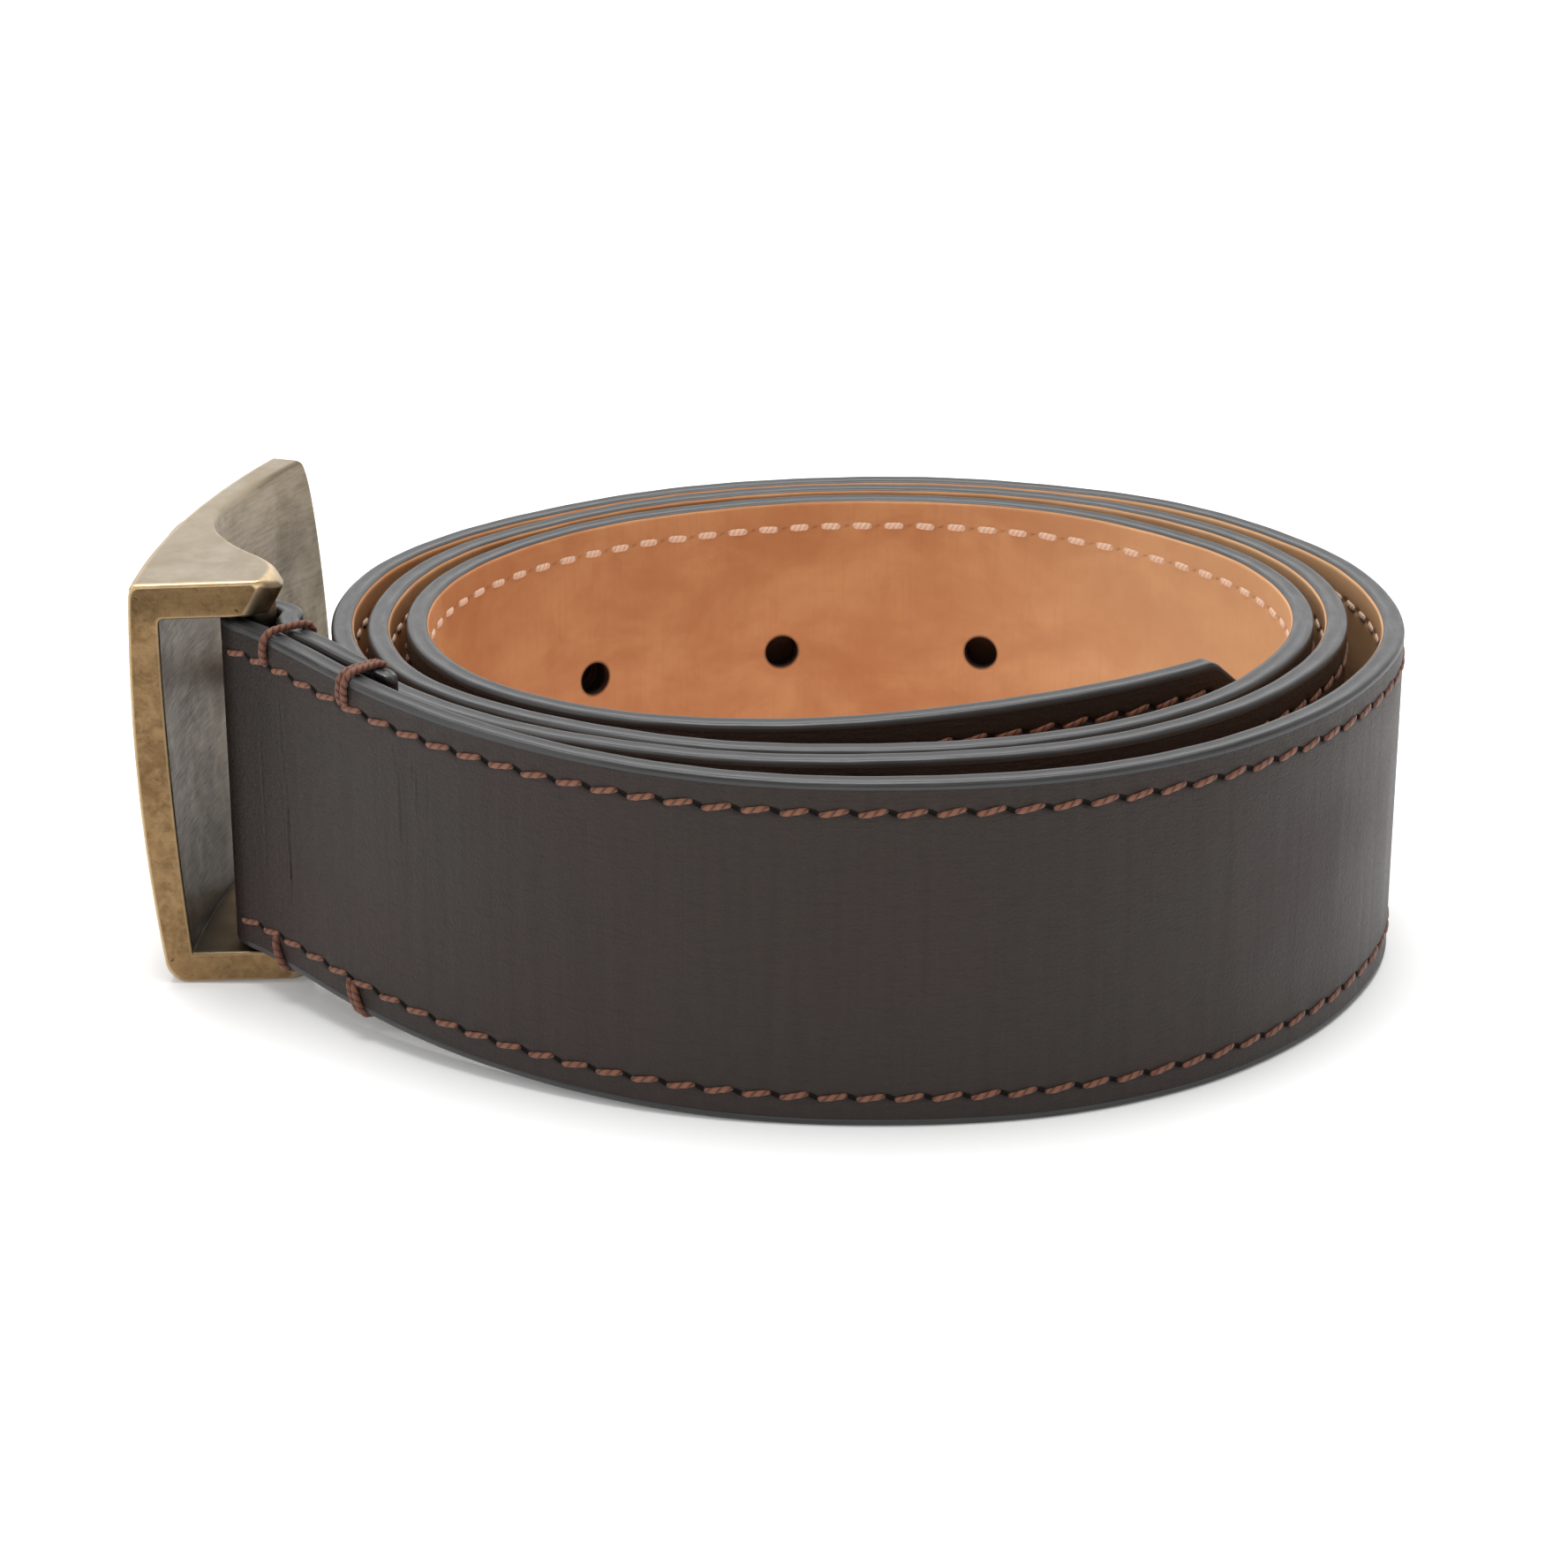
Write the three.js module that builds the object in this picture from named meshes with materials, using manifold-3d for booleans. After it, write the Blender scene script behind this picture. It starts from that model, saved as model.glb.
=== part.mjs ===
// Leather dress belt with a curved plate buckle, standing on its edge and rolled into a spiral.
// Millimetres, +Z up. The strap runs counter-clockwise seen from above, from the buckle loop inwards to the tip.
import * as THREE from 'three';
import { mergeVertices } from 'three/addons/utils/BufferGeometryUtils.js';
import Module from 'manifold-3d';

const wasm = await Module();
wasm.setup();

// ---------------------------------------------------------------- driving dimensions
const ORIGIN = [-12.336, 1.085];      // plan position of the middle of the whole object's footprint
const STRAP_W = 38;                   // strap width (height when standing on edge)
const STRAP_T = 2.5;                  // strap thickness, both layers
const GLUE_GAP = 0.05;                // between the outer leather and the lining
const EDGE_C = 0.55;                  // chamfer standing for the rounded painted edge
const LIFT = [[0, 4.4], [8, 4.4], [14, 4.02], [20, 3.38], [27, 2.54], [33.6, 1.85], [38, 1.48], [47, 0.88], [57, 0.38], [66, 0.09], [74, 0]];   // how far the buckle lifts the strap off the table, by distance from the fold
const STEP = 4.6, STEP_LOOP = 1.0;    // station spacing along the strap, and round the bar
const TIP_CHAMFER = 6.5;              // clipped corners of the tip, along the strap
const TIP_DROP = 5.6;                 // and across it
const SKIVE_RUN = 11, SKIVE_T = 0.55; // thinned end of the folded-back tail
const HOLE_R = 2.0, HOLE_PITCH = 25, HOLE_COUNT = 5;
const ROW_IN = 3.3;                   // stitch row, from the strap's edge
const THREAD_W = 0.7, THREAD_H = 0.14;

const BAR = [-67.3, -11.2];           // hinge bar, plan position
const BAR_R = 1.6, BAR_Z0 = 2.6, BAR_Z1 = 44.3, BAR_CLEAR = 0.15;
const LOOP_R = 3.15;                  // middle of the strap round the bar

const PLATE_H = 46.5, PLATE_L = 51;   // buckle plate, height and length along its curve
const PLATE_R = 117;                  // plan radius of its outer face
const PLATE_C = [37.83, -16.34];      // and that circle's centre
const PLATE_A0 = 1.0 * Math.PI / 180; // where the near end sits on it
const PLATE_BULGE = 1.25;             // outer face crowned from edge to edge
const PLATE_BULGE_IN = 0.6;
const FLANGE_TOP = 4.0, FLANGE_BOT = 3.5;
const END_BOW = 5.3, BOW_FROM = 30;   // the far end is a long shallow arc: its corners sit this much nearer the hinge
const LEAN = 2.3 * Math.PI / 180;     // the buckle leans outwards at the top
const LEAN_X = -78.7;                 // about the outer edge of its foot
// width of the two flanges along the plate: [distance from the near end, width from the outer face]
const FLANGE_W = [[0, 13.9], [0.5, 14.6], [1.9, 16.3], [3.3, 16.2], [4.7, 15.8], [7.1, 14.8], [9.3, 13.1], [11.5, 11.1], [14.2, 8.8], [16.9, 6.9], [19.5, 5.3], [22.6, 4.1], [26.3, 3.4], [30, 3.25], [36, 3.35], [42, 3.75], [51, 4.0]];
const PLATE_T = [[0, 3.1], [25, 3.2], [51, 3.8]];

const STUD_S = 37, STUD_V = 23.25;    // stud on the inner face
const RING_S = 24.5, RING_V = 23.25, RING_A = 16.5, RING_B = 20.2, RING_W = 4.2, RING_H = 1.15;

// ---------------------------------------------------------------- strap route (plan, middle of the thickness)
const ROUTE = [
  [-51.5, -26.65], [-56.4, -22.9], [-60.7, -18.65], [-63.35, -15.75],
  [-64.35, -12.7], [-64.25, -10.15], [-65.95, -8.35], [-68.38, -8.2], [-70.2, -9.85], [-70.4, -11.95], [-69.62, -13.32],
  [-67.5, -15.5], [-64.1, -19.2], [-60.0, -23.6], [-55.0, -28.25], [-46.3, -34.7], [-36.8, -40.2], [-27.8, -44.1],
  [-18.9, -46.7], [-10, -48.1], [-1.3, -48.5], [7.5, -48.05], [16.5, -46.4], [25.8, -42.85], [35.5, -36.8], [45.5, -26.6],
  [51.7, -16.3], [55.1, -7.5], [56.2, 1.0], [55.4, 10.0], [53.0, 18.5], [49.1, 25.8], [41.6, 35.3], [32.2, 42.6],
  [22.0, 47.1], [11.6, 49.8], [1.0, 50.7], [-9.6, 50.0], [-20.1, 47.6], [-30.5, 43.4], [-40.7, 36.7], [-50.0, 28.1],
  [-56.6, 18.2], [-59.3, 8.6], [-59.9, -0.4], [-58.2, -10.2], [-54.1, -19.1], [-46.75, -27.25], [-37.6, -33.9],
  [-28.2, -38.3], [-19.1, -41.2], [-10, -42.4], [-1.1, -42.4], [7.8, -41.4], [16.9, -39.1], [26.5, -34.75], [36.5, -26.9],
  [44.0, -17.2], [48.4, -8.0], [50.1, 0.5], [50.0, 9.0], [47.8, 18.0], [41.8, 28.7], [31.9, 38.0], [21.2, 43.7],
  [11.1, 46.7], [0.9, 47.4], [-9.3, 46.9], [-19.3, 44.7], [-29.1, 40.6], [-39.3, 33.5], [-48.2, 24.6], [-53.9, 13.0],
  [-55.9, -0.4], [-54.6, -9.2], [-51.6, -16.9], [-46.6, -23.2], [-37.4, -30.35], [-27.6, -35.35], [-18.6, -38.3],
  [-10, -39.5], [-1.1, -39.5], [7.4, -38.5], [16.1, -36.2], [25.3, -31.9], [35.4, -23.4], [42.3, -13.0], [45.5, -4.8],
  [46.5, 3.5], [45.3, 12.0], [41.1, 21.8], [31.9, 32.0], [23.0, 38.15], [11.8, 42.2], [0, 43.4], [-10.2, 42.5],
  [-20.8, 39.6], [-30.8, 35.0], [-40.4, 27.3], [-47.2, 18.4], [-50.8, 9.0], [-51.7, -0.4], [-50.5, -7.6], [-47.8, -14.1],
  [-43.6, -20.2], [-37.6, -25.3], [-28.3, -30.1], [-19.1, -32.2], [-10, -32.4], [-0.9, -30.8], [8.4, -28.0],
  [17.9, -24.0], [27.4, -18.8], [34.4, -13.9], [39.5, -9.6],
];

// ---------------------------------------------------------------- helpers
const lerpTable = (t, x) => {
  if (x <= t[0][0]) return t[0][1];
  for (let i = 1; i < t.length; i++) {
    if (x <= t[i][0]) {
      const u = (x - t[i - 1][0]) / (t[i][0] - t[i - 1][0]);
      return t[i - 1][1] + u * (t[i][1] - t[i - 1][1]);
    }
  }
  return t[t.length - 1][1];
};

const route = new THREE.CatmullRomCurve3(ROUTE.map(([x, y]) => new THREE.Vector3(x, y, 0)), false, 'centripetal');
const DENSE = 6000;
const dense = [];
{
  let s = 0, prev = route.getPoint(0);
  dense.push({ s: 0, x: prev.x, y: prev.y });
  for (let i = 1; i <= DENSE; i++) {
    const p = route.getPoint(i / DENSE);
    s += p.distanceTo(prev);
    dense.push({ s, x: p.x, y: p.y });
    prev = p;
  }
}
const STRAP_L = dense[DENSE].s;

function at(s) {                       // point, tangent and left-hand normal at arc length s
  s = Math.min(Math.max(s, 0), STRAP_L);
  let lo = 0, hi = DENSE;
  while (hi - lo > 1) { const m = (lo + hi) >> 1; if (dense[m].s <= s) lo = m; else hi = m; }
  const a = dense[lo], b = dense[hi], u = (s - a.s) / (b.s - a.s);
  const i0 = Math.max(lo - 4, 0), i1 = Math.min(hi + 4, DENSE);
  let tx = dense[i1].x - dense[i0].x, ty = dense[i1].y - dense[i0].y;
  const n = Math.hypot(tx, ty); tx /= n; ty /= n;
  return { x: a.x + u * (b.x - a.x), y: a.y + u * (b.y - a.y), tx, ty, nx: -ty, ny: tx };
}
function nearest(x, y, s0, s1) {
  let best = 1e9, bs = 0;
  for (const d of dense) {
    if (d.s < s0 || d.s > s1) continue;
    const r = Math.hypot(d.x - x, d.y - y);
    if (r < best) { best = r; bs = d.s; }
  }
  return bs;
}

const S_LOOP0 = nearest(-63.35, -15.75, 0, 60), S_LOOP1 = nearest(-67.5, -15.5, S_LOOP0 + 8, 90);
const S_LEFT = nearest(-70.4, -11.95, S_LOOP0, S_LOOP1);   // leftmost side of the loop
const stations = [];
{
  const run = (a, b, step) => { const n = Math.max(1, Math.round((b - a) / step)); for (let i = 0; i < n; i++) stations.push(a + (b - a) * i / n); };
  run(0, S_LOOP0, STEP); run(S_LOOP0, S_LOOP1, STEP_LOOP); run(S_LOOP1, S_LOOP1 + 12, 2.4);
  run(S_LOOP1 + 12, STRAP_L - TIP_CHAMFER, STEP); run(STRAP_L - TIP_CHAMFER, STRAP_L, TIP_CHAMFER / 2);
  stations.push(STRAP_L);
}
const lift = (s) => {                  // the fold is level; the folded-back tail matches the layer it lies against
  return lerpTable(LIFT, s < S_LEFT ? Math.max(0, S_LOOP0 - s) + 7.7 : s - S_LEFT);
};
const tipDrop = (s) => TIP_DROP * Math.max(0, (s - (STRAP_L - TIP_CHAMFER)) / TIP_CHAMFER);

// a band along the strap: section(s) gives the closed outline [[offset towards the lining, height], ...] seen along the run
function band(s0, s1, section) {
  const ss = [s0, ...stations.filter((s) => s > s0 + 0.3 && s < s1 - 0.3), s1];
  const pos = [], idx = [];
  const k = section(ss[0]).length;
  for (const s of ss) {
    const f = at(s), z = lift(s);
    for (const [o, h] of section(s)) pos.push(f.x + f.nx * o, f.y + f.ny * o, z + h);
  }
  for (let i = 0; i + 1 < ss.length; i++) {
    for (let j = 0; j < k; j++) {
      const a = i * k + j, b = i * k + (j + 1) % k, c = a + k, d = b + k;
      idx.push(a, b, d, a, d, c);
    }
  }
  const last = (ss.length - 1) * k;
  for (let j = 1; j + 1 < k; j++) { idx.push(0, j + 1, j); idx.push(last, last + j, last + j + 1); }
  return solid(pos, idx);
}
function solid(pos, idx) {
  const g = new THREE.BufferGeometry();
  g.setAttribute('position', new THREE.Float32BufferAttribute(pos, 3));
  g.setIndex(idx);
  let v = 0;                           // faces point out: swap them if the enclosed volume is negative
  for (let i = 0; i < idx.length; i += 3) {
    const [a, b, c] = [idx[i] * 3, idx[i + 1] * 3, idx[i + 2] * 3];
    v += pos[a] * (pos[b + 1] * pos[c + 2] - pos[b + 2] * pos[c + 1])
      - pos[a + 1] * (pos[b] * pos[c + 2] - pos[b + 2] * pos[c])
      + pos[a + 2] * (pos[b] * pos[c + 1] - pos[b + 1] * pos[c]);
  }
  if (v < 0) { const r = []; for (let i = 0; i < idx.length; i += 3) r.push(idx[i], idx[i + 2], idx[i + 1]); g.setIndex(r); }
  return g;
}
function manifoldOf(geometry) {
  let g = geometry.clone();
  g.deleteAttribute('normal'); g.deleteAttribute('uv');
  g = mergeVertices(g, 1e-4);
  return new wasm.Manifold(new wasm.Mesh({ numProp: 3, vertProperties: new Float32Array(g.attributes.position.array), triVerts: new Uint32Array(g.index.array) }));
}
function geometryOf(m) {
  const r = m.getMesh(), g = new THREE.BufferGeometry();
  const n = r.vertProperties.length / r.numProp, p = new Float32Array(n * 3);
  for (let i = 0; i < n; i++) for (let c = 0; c < 3; c++) p[3 * i + c] = r.vertProperties[i * r.numProp + c];
  g.setAttribute('position', new THREE.BufferAttribute(p, 3));
  g.setIndex(Array.from(r.triVerts));
  return g;
}

// ---------------------------------------------------------------- strap layers
const skive = (s) => s < SKIVE_RUN ? SKIVE_T + (1 - SKIVE_T) * (s / SKIVE_RUN) : 1;
let outer = band(0, STRAP_L, (s) => {
  const w = -STRAP_T / 2 * skive(s), d = tipDrop(s), top = STRAP_W - d;
  const c = EDGE_C * Math.min(1, -w);
  return [[0, d], [w + c, d], [w, d + EDGE_C], [w, top - EDGE_C], [w + c, top], [0, top]];
});
let lining = band(2.0, STRAP_L - 0.25, (s) => {
  const a = GLUE_GAP, b = STRAP_T / 2, d = tipDrop(s) + 0.25, top = STRAP_W - d;
  return [[a, d], [a, top], [b - EDGE_C, top], [b, top - EDGE_C], [b, d + EDGE_C], [b - EDGE_C, d]];
});

// punched holes, on the third turn's back stretch
const S_HOLE = nearest(-11.6, 42.3, STRAP_L * 0.55, STRAP_L * 0.85);
const holes = [];
for (let i = 0; i < HOLE_COUNT; i++) holes.push(S_HOLE + (i - 1) * HOLE_PITCH);
for (const s of holes) {
  const f = at(s), c = new THREE.CylinderGeometry(HOLE_R, HOLE_R, 6, 20);
  const m = new THREE.Matrix4().makeRotationFromQuaternion(new THREE.Quaternion().setFromUnitVectors(new THREE.Vector3(0, 1, 0), new THREE.Vector3(f.nx, f.ny, 0)));
  m.setPosition(f.x, f.y, lift(s) + STRAP_W / 2);
  c.applyMatrix4(m);
  const cut = manifoldOf(c);
  outer = geometryOf(manifoldOf(outer).subtract(cut));
  lining = geometryOf(manifoldOf(lining).subtract(cut));
}

// ---------------------------------------------------------------- stitch rows
const thread = (side, h) => band(side < 0 ? S_LEFT - 0.5 : S_LOOP1 + 24, STRAP_L - TIP_CHAMFER - 1.5, () => {
  const o = side * (STRAP_T / 2 + 0.02), q = side * (STRAP_T / 2 + 0.02 + THREAD_H);
  return side < 0 ? [[o, h - THREAD_W / 2], [q, h], [o, h + THREAD_W / 2]] : [[o, h + THREAD_W / 2], [q, h], [o, h - THREAD_W / 2]];
});

// ---------------------------------------------------------------- bar tacks over the edges of both layers
function tack(s, top, span) {
  const f = at(s), z = lift(s) + (top ? STRAP_W : 0), e = top ? 1 : -1, r = 0.32;
  const a = -STRAP_T / 2 - r - 0.06, b = a + span, P = (o, h) => new THREE.Vector3(f.x + f.nx * o, f.y + f.ny * o, z + e * h);
  const path = new THREE.CatmullRomCurve3([P(a, -2.6), P(a, -1.2), P(a + 0.05, -0.1), P(a + 0.55, r + 0.1), P(a + 1.3, r + 0.14),
    P((a + b) / 2, r + 0.14), P(b - 1.3, r + 0.14), P(b - 0.55, r + 0.1), P(b - 0.05, -0.1), P(b, -1.1)], false, 'centripetal');
  const shape = new THREE.Shape();
  for (let i = 0; i < 6; i++) { const t = i * Math.PI / 3; i ? shape.lineTo(r * Math.cos(t), r * Math.sin(t)) : shape.moveTo(r, 0); }
  shape.closePath();
  return new THREE.ExtrudeGeometry(shape, { steps: 26, bevelEnabled: false, extrudePath: path });
}

// ---------------------------------------------------------------- buckle plate
const plateAt = (s) => {               // frame on the outer face's arc: w points inwards
  const a = PLATE_A0 + s / PLATE_R;
  return { x: PLATE_C[0] - PLATE_R * Math.cos(a), y: PLATE_C[1] + PLATE_R * Math.sin(a), wx: Math.cos(a), wy: -Math.sin(a) };
};
const leanMatrix = new THREE.Matrix4().makeTranslation(LEAN_X, 0, 0)
  .multiply(new THREE.Matrix4().makeRotationY(-LEAN)).multiply(new THREE.Matrix4().makeTranslation(-LEAN_X, 0, 0));
const crown = (z) => 1 - ((z - PLATE_H / 2) / (PLATE_H / 2)) ** 2;
const bow = (s, z) => s <= BOW_FROM ? 0 : END_BOW * (1 - Math.sqrt(1 - 0.985 * (1 - crown(z)))) * ((s - BOW_FROM) / (PLATE_L - BOW_FROM)) ** 2;
function plateSection(s) {
  const t = lerpTable(PLATE_T, s), fw = Math.max(lerpTable(FLANGE_W, s), t + 0.14), m = fw - t;
  const c = Math.min(0.4, 0.3 * m), e = s < 20 ? 0.45 : 0.45 + 0.6 * Math.min(1, (s - 20) / 12), H = PLATE_H;
  const bo = (z) => -PLATE_BULGE * crown(z), bi = (z) => t - PLATE_BULGE_IN * crown(z);
  const zs = [7, 14, 20, 26.5, 32.5, 39.5], out = [];
  out.push([0.7, 0], [0.2, 0.2], [0, 0.7]);
  for (const z of zs) out.push([bo(z), z]);
  out.push([0, H - 0.7], [0.2, H - 0.2], [0.7, H]);
  out.push([fw - e, H], [fw - 0.3 * e, H - 0.3 * e], [fw, H - e], [fw, H - FLANGE_TOP + c], [fw - c, H - FLANGE_TOP]);
  out.push([bi(H - FLANGE_TOP) + c, H - FLANGE_TOP], [bi(H - FLANGE_TOP - c), H - FLANGE_TOP - c]);
  for (const z of [39, 34, 28.5, 23.25, 18, 12, 7.5]) out.push([bi(z), z]);
  out.push([bi(FLANGE_BOT + c), FLANGE_BOT + c], [bi(FLANGE_BOT) + c, FLANGE_BOT]);
  out.push([fw - c, FLANGE_BOT], [fw, FLANGE_BOT - c], [fw, 0.5], [fw - 0.5, 0]);
  return out;
}
function makePlate() {
  const ss = [0, 0.5, 1.2, 1.9, 3.3, 4.7, 6, 7.1, 8.2, 9.3, 10.4, 11.5, 12.8, 14.2, 15.5, 16.9, 18.2, 19.5, 21, 22.6, 24.4, 26.3, 30, 34, 38, 42, 45.5, 48.5, PLATE_L];
  const pos = [], idx = [];
  let k = 0;
  for (const s of ss) {
    const sec = plateSection(s);
    k = sec.length;
    for (const [w, z] of sec) {
      const f = plateAt(s - bow(s, z));
      pos.push(f.x + f.wx * w, f.y + f.wy * w, z);
    }
  }
  for (let i = 0; i + 1 < ss.length; i++) for (let j = 0; j < k; j++) {
    const a = i * k + j, b = i * k + (j + 1) % k, c = a + k, d = b + k;
    idx.push(a, b, d, a, d, c);
  }
  for (const [s, base, same] of [[0, 0, false], [PLATE_L, (ss.length - 1) * k, true]]) {
    const pts = plateSection(s).map(([w, z]) => new THREE.Vector2(w, z));
    const ccw = THREE.ShapeUtils.area(pts) > 0;
    for (const [a, b, c] of THREE.ShapeUtils.triangulateShape(pts, [])) {
      const turn = (pts[b].x - pts[a].x) * (pts[c].y - pts[a].y) - (pts[b].y - pts[a].y) * (pts[c].x - pts[a].x) > 0;
      (turn === ccw) === same ? idx.push(base + a, base + b, base + c) : idx.push(base + a, base + c, base + b);
    }
  }
  const g = solid(pos, idx).applyMatrix4(leanMatrix);
  let m = manifoldOf(g);
  for (const [z0, z1] of [[BAR_Z0 - 0.2, 7], [39, BAR_Z1 + 0.2]]) {   // blind seats for the bar's ends
    const c = new THREE.CylinderGeometry(BAR_R + BAR_CLEAR, BAR_R + BAR_CLEAR, z1 - z0, 24).rotateX(Math.PI / 2).translate(BAR[0], BAR[1], (z0 + z1) / 2);
    m = m.subtract(manifoldOf(c));
  }
  return geometryOf(m);
}

const bar = new THREE.CylinderGeometry(BAR_R, BAR_R, BAR_Z1 - BAR_Z0, 24).rotateX(Math.PI / 2).translate(BAR[0], BAR[1], (BAR_Z0 + BAR_Z1) / 2);

// stud: a round-headed peg that enters the strap's holes
function makeStud() {
  const t = lerpTable(PLATE_T, STUD_S), prof = [[0, 0], [1.9, 0], [1.6, 0.5], [1.5, 1.2], [1.5, 3.6], [1.75, 4.2], [2.3, 4.7], [2.35, 5.3], [2.0, 5.9], [1.2, 6.3], [0, 6.45]];
  const g = new THREE.LatheGeometry(prof.map(([x, y]) => new THREE.Vector2(x, y)), 20);
  const f = plateAt(STUD_S), w = t - PLATE_BULGE_IN + 0.12;
  const m = new THREE.Matrix4().makeRotationFromQuaternion(new THREE.Quaternion().setFromUnitVectors(new THREE.Vector3(0, 1, 0), new THREE.Vector3(f.wx, f.wy, 0)));
  m.setPosition(f.x + f.wx * w, f.y + f.wy * w, STUD_V);
  return g.applyMatrix4(m).applyMatrix4(leanMatrix);
}

// plain raised oval ring on the outer face
function makeRing() {
  const N = 44, sec = [[-0.5, 0.06], [-0.42, 0.72], [-0.2, 1], [0.2, 1], [0.42, 0.72], [0.5, 0.06]], k = sec.length, pos = [], idx = [];
  for (let i = 0; i < N; i++) {
    const t = 2 * Math.PI * i / N, c = Math.cos(t), q = Math.sin(t);
    for (const [a, h] of sec) {
      const u = RING_S + (RING_A + a * RING_W) * c, v = RING_V + (RING_B + a * RING_W) * q, f = plateAt(u);
      const w = -PLATE_BULGE * crown(v) - (h < 0.1 ? 0.12 : RING_H * h);
      pos.push(f.x + f.wx * w, f.y + f.wy * w, v);
    }
  }
  for (let i = 0; i < N; i++) for (let j = 0; j < k; j++) {
    const i2 = (i + 1) % N, a = i * k + j, b = i * k + (j + 1) % k, c = i2 * k + j, d = i2 * k + (j + 1) % k;
    idx.push(a, b, d, a, d, c);
  }
  return solid(pos, idx).applyMatrix4(leanMatrix);
}

// ---------------------------------------------------------------- assembly
const leather = (color, roughness) => new THREE.MeshStandardMaterial({ color, roughness, metalness: 0 });
const brass = () => new THREE.MeshStandardMaterial({ color: 0x9c8460, roughness: 0.38, metalness: 1 });
const BROWN = 0x3a2c28, TAN = 0xc7824e, RUST = 0x7d4632, CREAM = 0xd8b49a;
const strap = new THREE.Group(), buckle = new THREE.Group(), belt = new THREE.Group();
const add = (group, name, geometry, material) => { const m = new THREE.Mesh(geometry, material); m.name = name; group.add(m); };

add(strap, 'strap_outer_leather', outer, leather(BROWN, 0.45));
add(strap, 'strap_lining', lining, leather(TAN, 0.6));
add(strap, 'outer_thread_upper', thread(-1, STRAP_W - ROW_IN), leather(RUST, 0.8));
add(strap, 'outer_thread_lower', thread(-1, ROW_IN), leather(RUST, 0.8));
add(strap, 'lining_thread_upper', thread(1, STRAP_W - ROW_IN), leather(CREAM, 0.8));
add(strap, 'lining_thread_lower', thread(1, ROW_IN), leather(CREAM, 0.8));
const S_TACK1 = S_LOOP1 + 3.6, S_TACK2 = S_LOOP1 + 16.5;
add(strap, 'bar_tack_near_upper', tack(S_TACK1, true, 6.3), leather(RUST, 0.8));
add(strap, 'bar_tack_near_lower', tack(S_TACK1, false, 6.3), leather(RUST, 0.8));
add(strap, 'bar_tack_far_upper', tack(S_TACK2, true, 6.1), leather(RUST, 0.8));
add(strap, 'bar_tack_far_lower', tack(S_TACK2, false, 6.1), leather(RUST, 0.8));
add(buckle, 'buckle_plate', makePlate(), brass());
add(buckle, 'buckle_bar', bar, brass());
add(buckle, 'buckle_stud', makeStud(), brass());
add(buckle, 'buckle_ornament', makeRing(), brass());
belt.add(strap, buckle);
for (const g of [strap, buckle]) for (const m of g.children) m.geometry.translate(-ORIGIN[0], -ORIGIN[1], 0);

export { STRAP_L, holes, S_LEFT, S_LOOP0, S_LOOP1, S_TACK1, S_TACK2, at, lift };
export default belt;
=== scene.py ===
import math

import bpy
import numpy as np
from mathutils import Matrix, Vector, kdtree


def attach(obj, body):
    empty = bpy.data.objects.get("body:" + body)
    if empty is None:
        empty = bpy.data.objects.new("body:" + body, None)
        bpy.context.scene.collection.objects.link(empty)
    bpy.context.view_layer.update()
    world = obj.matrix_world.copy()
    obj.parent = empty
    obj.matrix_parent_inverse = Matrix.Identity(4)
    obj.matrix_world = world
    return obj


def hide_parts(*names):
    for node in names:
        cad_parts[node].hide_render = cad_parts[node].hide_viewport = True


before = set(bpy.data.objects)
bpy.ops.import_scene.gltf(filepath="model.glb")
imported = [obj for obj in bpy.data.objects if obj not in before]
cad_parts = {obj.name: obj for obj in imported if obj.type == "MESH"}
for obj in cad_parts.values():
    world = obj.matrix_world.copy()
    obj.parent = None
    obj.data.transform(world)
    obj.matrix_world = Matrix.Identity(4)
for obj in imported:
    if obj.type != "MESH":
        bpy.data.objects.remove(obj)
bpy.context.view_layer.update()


# ------------------------------------------------------------------ camera
camera_data = bpy.data.cameras.new("camera")
camera_data.sensor_width = 36.0
camera_data.sensor_height = 36.0
camera_data.sensor_fit = "HORIZONTAL"
camera_data.lens = 92.17
camera_data.clip_start = 0.01
camera_data.clip_end = 20.0
camera_data.dof.use_dof = False
camera = bpy.data.objects.new("camera", camera_data)
bpy.context.scene.collection.objects.link(camera)
camera.location = (0.001236, -0.420085, 0.1856)
camera.rotation_euler = (math.radians(90 - 21.8), 0, 0)
bpy.context.scene.camera = camera

# ------------------------------------------------------------------ dimensions, in millimetres in the design's own plan frame
ORIGIN = np.array([-12.336, 1.085, 0.0])
STRAP_W, STRAP_T = 38.0, 2.5
LIFT = [(0, 4.4), (8, 4.4), (14, 4.02), (20, 3.38), (27, 2.54), (33.6, 1.85), (38, 1.48), (47, 0.88), (57, 0.38), (66, 0.09), (74, 0)]
TIP_CHAMFER, TIP_DROP = 6.5, 5.6
SKIVE_RUN, SKIVE_T = 11.0, 0.55
HOLE_R, HOLE_PITCH = 2.0, 25.0
ROW_IN, PITCH = 3.3, 3.88
BAR = (-67.3, -11.2)
BAR_R, BAR_Z0, BAR_Z1 = 1.6, 2.6, 44.3
PLATE_H, PLATE_L, PLATE_R = 46.5, 51.0, 117.0
PLATE_C = (37.83, -16.34)
PLATE_A0 = math.radians(1.0)
PLATE_BULGE, PLATE_BULGE_IN = 1.25, 0.6
FLANGE_TOP, FLANGE_BOT = 4.0, 3.5
END_BOW, BOW_FROM = 5.3, 30.0
LEAN, LEAN_X = math.radians(2.3), -78.7
FLANGE_W = [(0, 13.9), (0.5, 14.6), (1.9, 16.3), (3.3, 16.2), (4.7, 15.8), (7.1, 14.8), (9.3, 13.1), (11.5, 11.1), (14.2, 8.8), (16.9, 6.9), (19.5, 5.3), (22.6, 4.1), (26.3, 3.4), (30, 3.1), (36, 3.25), (42, 3.7), (51, 4.0)]
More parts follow.
